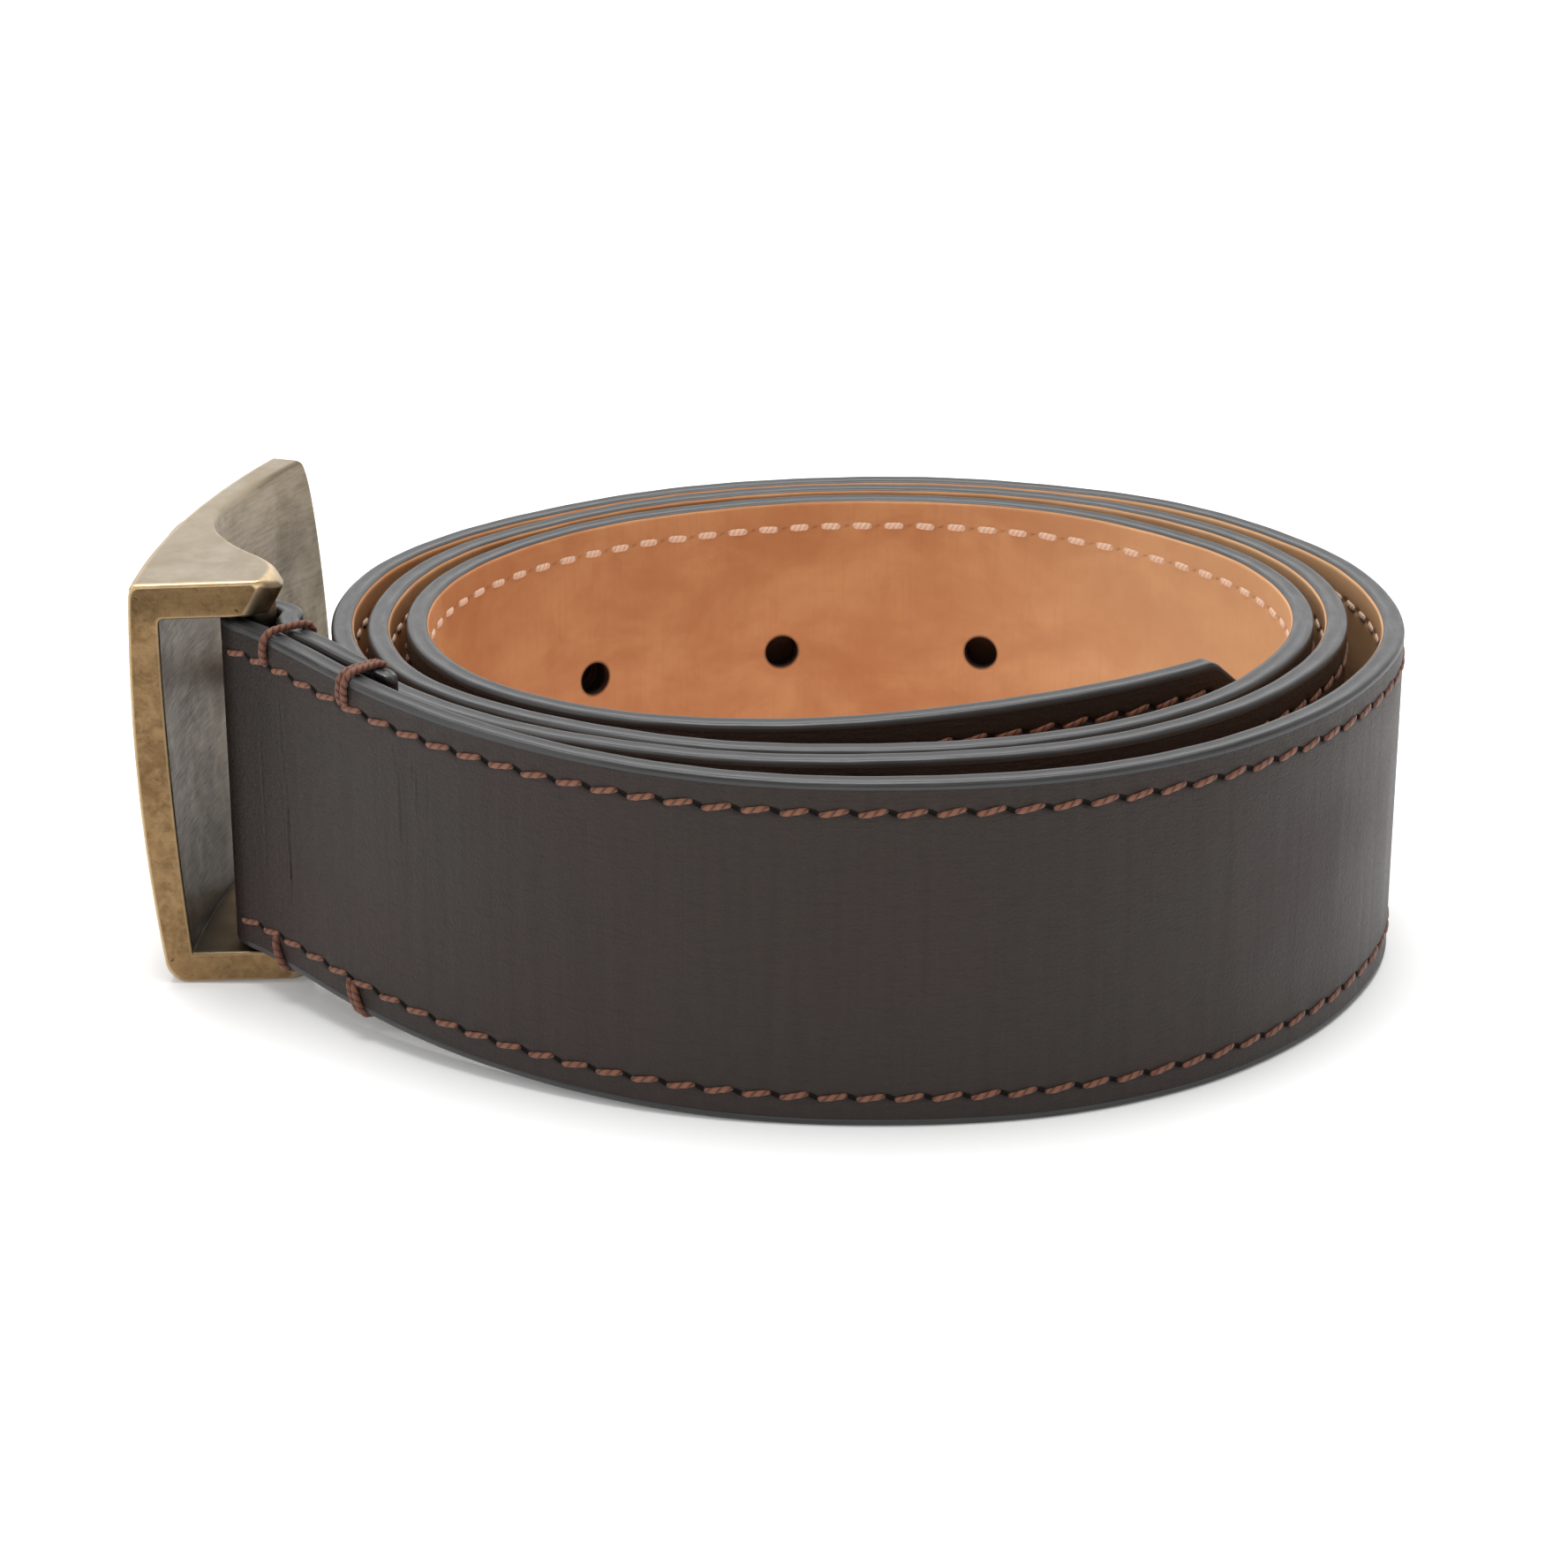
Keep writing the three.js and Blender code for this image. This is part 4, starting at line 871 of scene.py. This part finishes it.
def stitch_row(name, node, upper, outer):
    b = Batch()
    pts = row_points(upper)
    local = np.random.default_rng(11 + 2 * upper + outer)
    mm = 0.001
    for i in range(len(pts) - 1):
        (s0, h0), (s1, h1) = pts[i], pts[i + 1]
        if not outer and s0 < S_LOOP1 + 22:
            continue
        sm = 0.5 * (s0 + s1)
        L = math.hypot(s1 - s0, h1 - h0)
        share = 0.76 if outer else 0.62
        slant = (0.29 if outer else 0.04) + local.normal(0, 0.03)
        ds, dh = (s1 - s0) / L, (h1 - h0) / L
        fine = outer and s0 < 345
        n, sides = (29, 14) if fine else (13, 10)
        u = np.linspace(-1, 1, n)
        half = 0.5 * L * share * (1 + local.normal(0, 0.02))
        along = u * half + local.normal(0, 0.03)
        across = slant * (0.75 * u + 0.25 * np.sin(u * math.pi / 2))
        S = sm + along * ds - across * dh
        H = 0.5 * (h0 + h1) + along * dh + across * (1 if abs(ds) > 0.3 else 0.3) + local.normal(0, 0.02)
        arch = 1 - np.abs(u) ** 3.4
        if outer:
            O = -(STRAP_T / 2) + 0.20 - 0.23 * arch
            rv, ru = 0.19, 0.335
        else:
            O = (STRAP_T / 2) - 0.13 + 0.135 * arch
            rv, ru = 0.17, 0.42
        path = place(S, O, H)
        x, y, tx, ty, nx, ny = at(S)
        up = np.c_[nx, ny, np.zeros(n)] * (-1 if outer else 1)
        taper = 0.50 + 0.50 * np.sqrt(np.clip(1 - np.abs(u) ** 4.0, 0, 1))
        phase = local.uniform(0, 6.28)
        v, f = tube(path, ru * mm, rv * mm, up, sides, twist=-(2 * math.pi / 2) / (LAY * mm), lobes=2, lobe=0.085 if fine else 0.0, taper=taper, plies_phase=phase)
        co = thread_coords(path, sides, np.abs(u) ** 9)
        co[:, 0] += phase / (2 * math.pi) * LAY
        b.add(v, f, coord=co)
    return b.object(name, RUST if outer else CREAM, "strap", node, "brown_thread" if outer else "cream_thread")


def tack_rope(b, s, top, span, radius, seed, lean=0.0, depth=3.15, inner_depth=1.2, rise=0.0, slant=0.0):
    """One pass of thread over both layers' edges: out of the face at the stitch row, up, across and down behind."""
    z, e = (STRAP_W, 1) if top else (0.0, -1)
    r = radius
    f, c = -STRAP_T / 2, -STRAP_T / 2 + span
    key = np.array([(f + 0.45, -depth - 0.12), (f + 0.12, -depth - 0.08), (f - r * 0.55, -depth + 0.32), (f - r * 0.90, -depth * 0.62), (f - r * 0.98, -depth * 0.38), (f - r * 0.90, -0.75), (f - r * 0.62, -0.12), (f + 0.02, r * 0.75),
                    (f + 0.75, r * 1.22 + rise), (f + 1.6, r * 1.34 + rise), ((f + c) / 2, r * 1.22 + rise), (c - 1.5, r * 1.16 + rise), (c - 0.75, r * 1.0), (c - 0.02, r * 0.45), (c + r * 0.72, -0.45), (c + r * 0.70, -inner_depth), (c - 0.25, -inner_depth - 0.42)])
    n = 72
    d = np.concatenate([[0], np.cumsum(np.hypot(*np.diff(key, axis=0).T))])
    q = np.linspace(0, d[-1], n)
    g = q / q[-1]
    o, h = np.interp(q, d, key[:, 0]), np.interp(q, d, key[:, 1])
    ker = np.hanning(19)[1:-1]
    ker /= ker.sum()
    o = np.convolve(np.pad(o, 8, "edge"), ker, "valid")
    h = np.convolve(np.pad(h, 8, "edge"), ker, "valid")
    path = place(np.full(n, s), o, z + e * h)
    x, y, tx, ty, nx, ny = (float(w[0]) for w in at(s))
    side = lean * (g - 0.5) + slant * (0.5 - np.where(g < 0.45, np.clip(-h / depth, 0, 1), 0.0))
    path = path + side[:, None] * 0.001 * np.array([tx, ty, 0.0])
    up = np.tile(np.array([tx, ty, 0.02]), (n, 1))
    taper = np.clip(np.minimum(np.arange(n) / 3 + 0.6, (n - 1 - np.arange(n)) / 3 + 0.6), 0, 1)
    sides = 16
    v, fc = tube(path, r * 0.001, r * 0.001, up, sides, twist=-(2 * math.pi / 2) / 0.00080, lobes=2, lobe=0.075, taper=taper, plies_phase=seed * 1.3)
    co = thread_coords(path, sides, np.clip(1 - np.minimum(q, q[-1] - q) / 0.55, 0, 1) ** 2)
    co[:, 0] = co[:, 0] * 0.80 / 0.80 + seed * 0.11
    b.add(v, fc, coord=co)


def build_tacks():
    for name, node, s, top, near in (
        ("tack_near_upper", "bar_tack_near_upper", S_TACK1, True, True),
        ("tack_near_lower", "bar_tack_near_lower", S_TACK1, False, True),
        ("tack_far_upper", "bar_tack_far_upper", S_TACK2, True, False),
        ("tack_far_lower", "bar_tack_far_lower", S_TACK2, False, False),
    ):
        b = Batch()
        if near:
            tack_rope(b, s, top, 5.75, 0.42, 1, 0.55, slant=0.25 if top else 1.3)
        else:
            tack_rope(b, s - 0.38, top, 5.45, 0.36, 3, 0.45, slant=0.2 if top else 1.3)
            tack_rope(b, s + 0.30, top, 5.50, 0.38, 4, 0.25, slant=0.2 if top else 1.3)
            tack_rope(b, s + 0.02, top, 5.35, 0.26, 5, -0.50, rise=0.22, slant=0.2 if top else 1.3)
        b.object(name, RUST_DARK, "strap", node, "brown_thread")


# ------------------------------------------------------------------ buckle
def lerp_table(t, x):
    return float(np.interp(x, [a for a, _ in t], [b for _, b in t]))


def smooth_table(table, soft_from):
    """A width along the plate as a smooth curve through the stated widths."""
    xs = np.linspace(0, PLATE_L, 1021)
    w = np.interp(xs, [a for a, _ in table], [b for _, b in table])
    k = np.exp(-0.5 * (np.arange(-30, 31) / 11.0) ** 2)
    k /= k.sum()
    sm = np.convolve(np.pad(w, 30, "edge"), k, "valid")
    m = np.clip((xs - soft_from) / 1.6, 0, 1)
    return xs, w + (sm - w) * m


FLX, FLW = smooth_table(FLANGE_W, 2.4)
_, TPW = smooth_table(TOP_W, 5.6)


def plate_at(s):
    a = PLATE_A0 + s / PLATE_R
    return PLATE_C[0] - PLATE_R * math.cos(a), PLATE_C[1] + PLATE_R * math.sin(a), math.cos(a), -math.sin(a)


def lean(p):
    """Leans buckle points, given in mm in the plan frame, and returns metres in the row frame."""
    p = np.asarray(p, float).reshape(-1, 3)
    dx = p[:, 0] - LEAN_X
    out = np.c_[LEAN_X + dx * math.cos(LEAN) - p[:, 2] * math.sin(LEAN), p[:, 1], dx * math.sin(LEAN) + p[:, 2] * math.cos(LEAN)]
    return (out - ORIGIN) * 0.001


def crown(z):
    return 1 - ((z - PLATE_H / 2) / (PLATE_H / 2)) ** 2


def bow(s, z):
    """How much nearer the hinge the far end's corners sit than its middle."""
    if s <= BOW_FROM:
        return np.zeros_like(z)
    c = np.clip(crown(np.clip(z, 0, PLATE_H)), 0, 1)
    return END_BOW * (1 - np.sqrt(1 - 0.985 * (1 - c))) * ((s - BOW_FROM) / (PLATE_L - BOW_FROM)) ** 2


def arc(cx, cz, r, a0, a1, n):
    """n points on a quarter round, from a0 to a1 degrees."""
    return [(cx + r * math.cos(math.radians(a0 + (a1 - a0) * i / (n - 1))), cz + r * math.sin(math.radians(a0 + (a1 - a0) * i / (n - 1)))) for i in range(n)]


def plate_section(s, inset=0.0):
    """Closed outline (width inwards, height) with the state of each point: rubbed rim with a painted highlight (below
    zero, a concave corner darkened as painted shade), brown patina, dark inside.
    """
    t = lerp_table(PLATE_T, s)
    fw = max(float(np.interp(s, FLX, FLW)), t + 0.10)
    tw = min(float(np.interp(s, FLX, TPW)), fw - 0.30)
    ear = float(np.clip((8.5 - s) / 4.0, 0, 1)) * float(np.clip(s / 1.2, 0, 1))
    f = float(np.clip((s - 11.5) / 11.0, 0, 1))
    f = f * f * (3 - 2 * f)
    f2 = float(np.clip((s - 19) / 9.0, 0, 1))
    bev = 0.42 + 0.62 * ear + 0.22 * float(np.clip((s - 20) / 8, 0, 1))
    slant = 1.55 * float(np.clip((10 - s) / 6, 0, 1))
    H, g, c = PLATE_H, inset, 0.32
    bo = lambda z: -PLATE_BULGE * crown(z)
    bi = lambda z: t - PLATE_BULGE_IN * crown(z)
    r = 0.72
    P = []

    def add(w, z, edge=0.0, brown=0.0, inner=0.0):
        P.append((w, z, edge, brown, inner))

    rb = 2.1 - 0.9 * float(np.clip((s - 38) / 8, 0, 1))
    for w, z in arc(rb + g, rb + g, rb, 270, 180, 10):
        add(w + (bo(rb) - 0) * max(0.0, (z - g) / rb) ** 2, z, 0.25, 0.5)
    add(bo(2.6) + g, 2.6, 0.0, 0.5)
    for z in (3.4, 5.2, 8, 12, 16, 20, 23.25, 26.5, 30.5, 34.5, 38.5, 42, 44.0):
        add(bo(z) + g, z, 0.0, 0.5)
    add(bo(45.1) + g, 45.1, 0.0, 0.4)
    for w, z in arc(r + g, H - r - g, r, 180, 90, 7):
        add(w, z, 0.40, 0.0)
    add(r + g + 0.35, H - g, 0.0)
    add(max(1.35, 0.45 * tw), H - g)
    add(max(1.6, tw - 0.75) - 0.5 * g, H - g)
    add(max(1.75, tw - 0.42) - 0.5 * g, H - g - 0.004, 0.10)
    # rounded rim, then the bevel down to the widest point
    x0, z0, x1, z1 = tw - g, H - g, fw - g, H - bev - g
    for i, u in enumerate((0.0, 0.12, 0.26, 0.45, 0.68, 1.0)):
        a = u * math.pi / 2
        w = x0 + (x1 - x0) * (0.55 * math.sin(a) + 0.45 * u)
        z = z0 - (z0 - z1) * (0.55 * (1 - math.cos(a)) + 0.45 * u)
        add(w, z, (0.50, 0.60, 0.55, 0.45, 0.35, 0.25)[i] * (1 - 0.6 * f), 0.0, 0.0)
    # flanged side and underside (A), and the same points as one hollow sweep into the inner face (B)
    zu = H - FLANGE_TOP
    x2 = bi(zu)
    A = [(fw - 0.10 - g, H - bev - 0.30 - g, 0.0, 0.9 * ear, 0.0), (fw - 0.5 * slant - g, 0.5 * (H - bev + zu), 0.0, 1.0 * ear, 0.0)]
    A += [(w, z, 0.35, 0.3 * ear, 0.2) for w, z in arc(fw - slant - c - g, zu + c + g, c, 0, -90, 4)]
    A += [(fw - slant - c - 0.5, zu + g, 0.0, 0.3, 0.6), (x2 + 0.9 + 0.4 * max(0, fw - slant - x2 - 2.4), zu + g, 0.0, 0.2, 0.9)]
    # a rub value below zero darkens this concave corner as painted shade
    A += [(w, z, -0.5 * (1 - f), 0.0, 1.0) for w, z in arc(x2 + 0.6 - g, zu - 0.6 + g, 0.6, 90, 180, 4)]
    A = [(min(a[0], fw - g) if a[0] > x2 else a[0],) + a[1:] for a in A]
    zl = H - FLANGE_TOP - 0.6 - 8.4 * f
    n = len(A)
    B = []
    for i in range(n):
        u = (i + 0.6) / (n - 0.4)
        z = (H - bev) - u * ((H - bev) - zl)
        B.append((bi(z) + (fw - bi(H - bev)) * (1 - u) ** 2.2 - g, z, 0.0, 0.0, min(1.0, 1.15 * u)))
    for a, b in zip(A, B):
        P.append(tuple(a[j] * (1 - f) + b[j] * f for j in range(5)))
    for i, u in enumerate(np.linspace(0, 1, 12)[1:-1]):
        z = zl + u * (FLANGE_BOT + 0.06 + 3.3 * f2 - zl)
        add(bi(z) - g, z, 0.0, 0.0, 1.0)
    x3 = bi(FLANGE_BOT)
    zb = FLANGE_BOT
    # a rub value below zero darkens this concave corner as painted shade
    A = [(w, z, -0.30, 0.0, 1.0) for w, z in arc(x3 + 0.06 - g, zb + 0.06 - g, 0.06, 180, 270, 4)]
    A += [(x3 + 0.9 + 0.4 * max(0, fw - x3 - 2.4), zb - g, 0.0, 0.45, 0.3), (fw - c - 0.5, zb - g, 0.0, 0.45, 0.3)]
    A += [(w, z, 0.25, 0.3, 0.2) for w, z in arc(fw - c - g, zb - c - g, c, 90, 0, 4)]
    A += [(fw - g, 1.6, 0.0, 0.5, 0.2)]
    A = [(min(a[0], fw - g) if a[0] > x3 else a[0],) + a[1:] for a in A]
    n = len(A)
    B = []
    zt = FLANGE_BOT + 0.06 + 3.3 * f2
    for i in range(n):
        u = (i + 0.4) / (n - 0.4)
        z = zt + u * (0.9 - zt)
        B.append((bi(max(z, 0)) + (fw - bi(1.0)) * u ** 2.2 - g, z, 0.0, 0.0, 1.0 - 0.5 * u))
    for a, b in zip(A, B):
        P.append(tuple(a[j] * (1 - f2) + b[j] * f2 for j in range(5)))
    for w, z in arc(fw - 0.5 - g, 0.5 + g, 0.5, 0, -90, 5):
        add(w, z, 0.5, 0.3)
    w1, w3 = fw - 0.62 - g, rb + g + 0.10
    add(w1, g, 0.0, 0.4)
    add(0.5 * (w1 + w3), g, 0.0, 0.4)
    add(w3, g, 0.0, 0.4)
    return np.array(P, float)


def ear_cap(sec):
    """Triangles for a planar outline, from Blender's own tessellator."""
    from mathutils.geometry import tessellate_polygon
    return tessellate_polygon([[Vector((w, z, 0)) for w, z in sec[:, :2]]])


def build_plate():
    # each ring: distance along the plate, how far its outline is drawn in, and how strongly its points are rubbed
    # bright, rubbed brass with a painted highlight
    near = [(0.0, 0.95, 0.0), (0.0, 0.62, 0.0), (0.0, 0.48, 0.12), (0.0, 0.36, 0.62), (0.035, 0.20, 0.9), (0.11, 0.09, 0.9), (0.24, 0.02, 0.85), (0.40, 0.0, 0.7), (0.58, 0.0, 0.45), (0.75, 0.0, 0.0)]
    mid = [(float(s), 0.0, None) for s in np.concatenate([np.arange(1.0, 30, 0.4), np.arange(30, 49.6, 0.7), [50.0, 50.35]])]
    far = [(50.6, 0.0, 0.0), (50.75, 0.015, 0.3), (50.88, 0.07, 0.5), (50.96, 0.17, 0.6), (51.0, 0.34, 0.5), (51.0, 0.6, 0.0)]
    rings = near + mid + far
    verts, wear_and_painted_light = [], []
    k = None
    for i, (s, g, rub_and_glint) in enumerate(rings):
        sec = plate_section(s, g)
        k = len(sec)
        sb = s - bow(s, sec[:, 1])
        a = PLATE_A0 + sb / PLATE_R
        wx, wy = np.cos(a), -np.sin(a)
        verts.append(np.c_[PLATE_C[0] - PLATE_R * wx + wx * sec[:, 0], PLATE_C[1] - PLATE_R * wy + wy * sec[:, 0], sec[:, 1]])
        w = sec[:, 2:5].copy()
        if rub_and_glint is not None:
            # the near end's rim is brightened along its top, less down its outside, and least round the opening: rubbed
            # brass with a painted highlight
            top = np.clip((sec[:, 1] - 45.2) / 0.8, 0, 1)
            side = np.clip((1.6 - sec[:, 0]) / 0.6, 0, 1)
            share = np.maximum(np.maximum(top, 0.55 * side), 0.42)
            if i <= 3:
                w[:] = 0
                w[:, 0], w[:, 1] = rub_and_glint * share, 1.0
            elif i < len(near):
                w[:, 0] = np.maximum(w[:, 0] * share, rub_and_glint * share)
                w[:, 1] *= min(1.0, s / 0.7)
                if i == 4:
                    w[:, 1] = 0.5
            else:
                w[:, 0] = np.maximum(w[:, 0] * (1 if rub_and_glint else 0.6), rub_and_glint)
        wear_and_painted_light.append(w)
    v = np.vstack(verts)
    n = len(rings)
    faces = [list(f) for f in grid_faces(n, k)]
    for i, rev in ((0, True), (n - 1, False)):
        sec = plate_section(*rings[i][:2])
        for a, b, c in ear_cap(sec):
            p, q, r = sec[a, :2], sec[b, :2], sec[c, :2]
            turn = (q[0] - p[0]) * (r[1] - p[1]) - (q[1] - p[1]) * (r[0] - p[0])
            tri = [a, b, c] if turn < 0 else [a, c, b]     # same turn as the outline, which runs clockwise here
            if rev:
                tri = tri[::-1]
            faces.append([i * k + t for t in tri])
    ob = new_mesh("plate_buckle", lean(v), faces, [BRASS], "buckle", "buckle_plate", {"wear_and_painted_light": ("FLOAT_VECTOR", np.vstack(wear_and_painted_light))}, None, 38)
    fix_normals(ob)
    return ob


def fix_normals(ob):
    import bmesh
    bm = bmesh.new()
    bm.from_mesh(ob.data)
    bmesh.ops.recalc_face_normals(bm, faces=bm.faces)
    bm.to_mesh(ob.data)
    bm.free()
    ob.data.update()


def lathe(profile, sides):
    prof = np.asarray(profile, float)
    n = len(prof)
    a = np.linspace(0, 2 * np.pi, sides, endpoint=False)
    v = []
    for r, z in prof:
        v.append(np.c_[r * np.cos(a), r * np.sin(a), np.full(sides, z)])
    return np.vstack(v), n, sides


def build_bar():
    z0, z1 = BAR_Z0, BAR_Z1
    prof = [(0.001, z0), (BAR_R - 0.3, z0), (BAR_R - 0.08, z0 + 0.08), (BAR_R, z0 + 0.3)] + [(BAR_R, z) for z in np.linspace(z0 + 2, z1 - 2, 20)] + [(BAR_R, z1 - 0.3), (BAR_R - 0.08, z1 - 0.08), (BAR_R - 0.3, z1), (0.001, z1)]
    v, n, k = lathe(prof, 40)
    v[:, 0] += BAR[0]
    v[:, 1] += BAR[1]
    faces = [list(f) for f in grid_faces(n, k)] + [list(range(k - 1, -1, -1)), [(n - 1) * k + j for j in range(k)]]
    wear_and_painted_light = np.zeros((len(v), 3))
    wear_and_painted_light[:, 2] = 0.6
    ob = new_mesh("hinge_bar", (v - ORIGIN) * 0.001, faces, [BRASS], "buckle", "buckle_bar", {"wear_and_painted_light": ("FLOAT_VECTOR", wear_and_painted_light)}, None, 40)
    fix_normals(ob)


def build_stud():
    t = lerp_table(PLATE_T, STUD_S)
    prof = [(0.001, -0.15), (2.2, -0.15), (2.05, 0.05), (1.8, 0.3), (1.62, 0.7), (1.52, 1.3), (1.5, 2.2), (1.5, 3.3), (1.58, 3.8), (1.78, 4.2), (2.1, 4.52), (2.3, 4.85), (2.36, 5.2), (2.28, 5.55), (2.02, 5.9), (1.6, 6.15), (1.0, 6.35), (0.45, 6.43), (0.001, 6.45)]
    v, n, k = lathe(prof, 48)
    x, y, wx, wy = plate_at(STUD_S)
    w0 = t - PLATE_BULGE_IN + 0.12
    axis = np.array([wx, wy, 0.0])
    side = np.array([-wy, wx, 0.0])
    up = np.array([0, 0, 1.0])
    p = np.array([x, y, STUD_V]) + axis * w0 + v[:, 2:3] * axis + v[:, 0:1] * side + v[:, 1:2] * up
    faces = [list(f) for f in grid_faces(n, k)] + [list(range(k - 1, -1, -1)), [(n - 1) * k + j for j in range(k)]]
    wear_and_painted_light = np.zeros((len(v), 3))
    wear_and_painted_light[:, 0] = np.where(v[:, 2] > 4.3, 0.6, 0.15)
    ob = new_mesh("hook_stud", lean(p), faces, [BRASS], "buckle", "buckle_stud", {"wear_and_painted_light": ("FLOAT_VECTOR", wear_and_painted_light)}, None, 40)
    fix_normals(ob)


def build_ring():
    n, m = 160, 18
    a = np.linspace(0, np.pi, m)
    sec = [(-0.5 * math.cos(t), max(0.0, math.sin(t)) ** 0.8) for t in a]
    v, wear_and_painted_light = [], []
    for i in range(n):
        t = 2 * math.pi * i / n
        c, q = math.cos(t), math.sin(t)
        for j, (d, h) in enumerate(sec):
            u = RING_S + (RING_A + d * RING_W) * c
            z = RING_V + (RING_B + d * RING_W) * q
            x, y, wx, wy = plate_at(u)
            w = -PLATE_BULGE * crown(z) - (1.45 * RING_H * h if 0 < j < m - 1 else -0.12)
            v.append((x + wx * w, y + wy * w, z))
            wear_and_painted_light.append((0.15 + 0.65 * h ** 3, 0.4 * (1 - h), 0))
    v = np.array(v)
    k = m
    i = np.arange(n)[:, None]
    j = np.arange(k)[None, :]
    i2, j2 = (i + 1) % n, (j + 1) % k
    faces = np.stack([i * k + j, i * k + j2, i2 * k + j2, i2 * k + j], -1).reshape(-1, 4)
    ob = new_mesh("plain_oval_ring", lean(v), [list(f) for f in faces], [BRASS], "buckle", "buckle_ornament", {"wear_and_painted_light": ("FLOAT_VECTOR", np.array(wear_and_painted_light))}, None, 60)
    fix_normals(ob)


strap = build_strap()
lining = build_lining()
stitch_row("stitches_outer_upper", "outer_thread_upper", True, True)
stitch_row("stitches_outer_lower", "outer_thread_lower", False, True)
stitch_row("stitches_lining_upper", "lining_thread_upper", True, False)
stitch_row("stitches_lining_lower", "lining_thread_lower", False, False)
build_tacks()
build_plate()
build_bar()
build_stud()
build_ring()


# ------------------------------------------------------------------ floor and light
def floor():
    me = bpy.data.meshes.new("floor")
    r = 6.0
    me.from_pydata([(-r, -r, 0), (r, -r, 0), (r, r, 0), (-r, r, 0)], [], [(0, 1, 2, 3)])
    ob = bpy.data.objects.new("floor", me)
    bpy.context.scene.collection.objects.link(ob)
    m = Mat("floor")
    p = m.position()
    m.link(m.mix(m.ramp(m.noise(p, 3.0, 2.0), 0.3, 0.7), rgb(0.90, 0.90, 0.90), rgb(0.93, 0.93, 0.93)), m.b.inputs["Base Color"])
    m.set(m.b, Roughness=0.9, **{"Specular IOR Level": 0.1, "Emission Color": rgb(1.0, 0.995, 0.99), "Emission Strength": 0.15})
    me.materials.append(m.m)
    ob.location = (0, 0, -0.00002)
    return ob


def area(name, loc, target, size, power, colour=(1, 1, 1)):
    d = bpy.data.lights.new(name, "AREA")
    d.shape = "RECTANGLE"
    d.size, d.size_y = size
    d.energy = power
    d.color = colour
    o = bpy.data.objects.new(name, d)
    bpy.context.scene.collection.objects.link(o)
    o.location = loc
    o.rotation_euler = (Vector(target) - Vector(loc)).to_track_quat("-Z", "Y").to_euler()
    return o


floor()
world = bpy.data.worlds.new("studio")
bpy.context.scene.world = world
world.use_nodes = True
world.node_tree.nodes["Background"].inputs[0].default_value = (1.0, 0.995, 0.985, 1)
world.node_tree.nodes["Background"].inputs[1].default_value = 0.50
area("overhead", (0.0, 0.14, 1.3), (0, 0, 0), (0.95, 0.85), 17.5)
area("back", (0.0, 1.25, 0.55), (0, 0, 0.1), (2.6, 1.0), 8.5)
area("left", (-1.0, -0.55, 0.65), (0, 0, 0.02), (0.7, 0.7), 2.6)
bpy.context.scene.view_settings.view_transform = "Standard"
bpy.context.scene.view_settings.look = "None"
bpy.context.scene.view_settings.exposure = 0.0
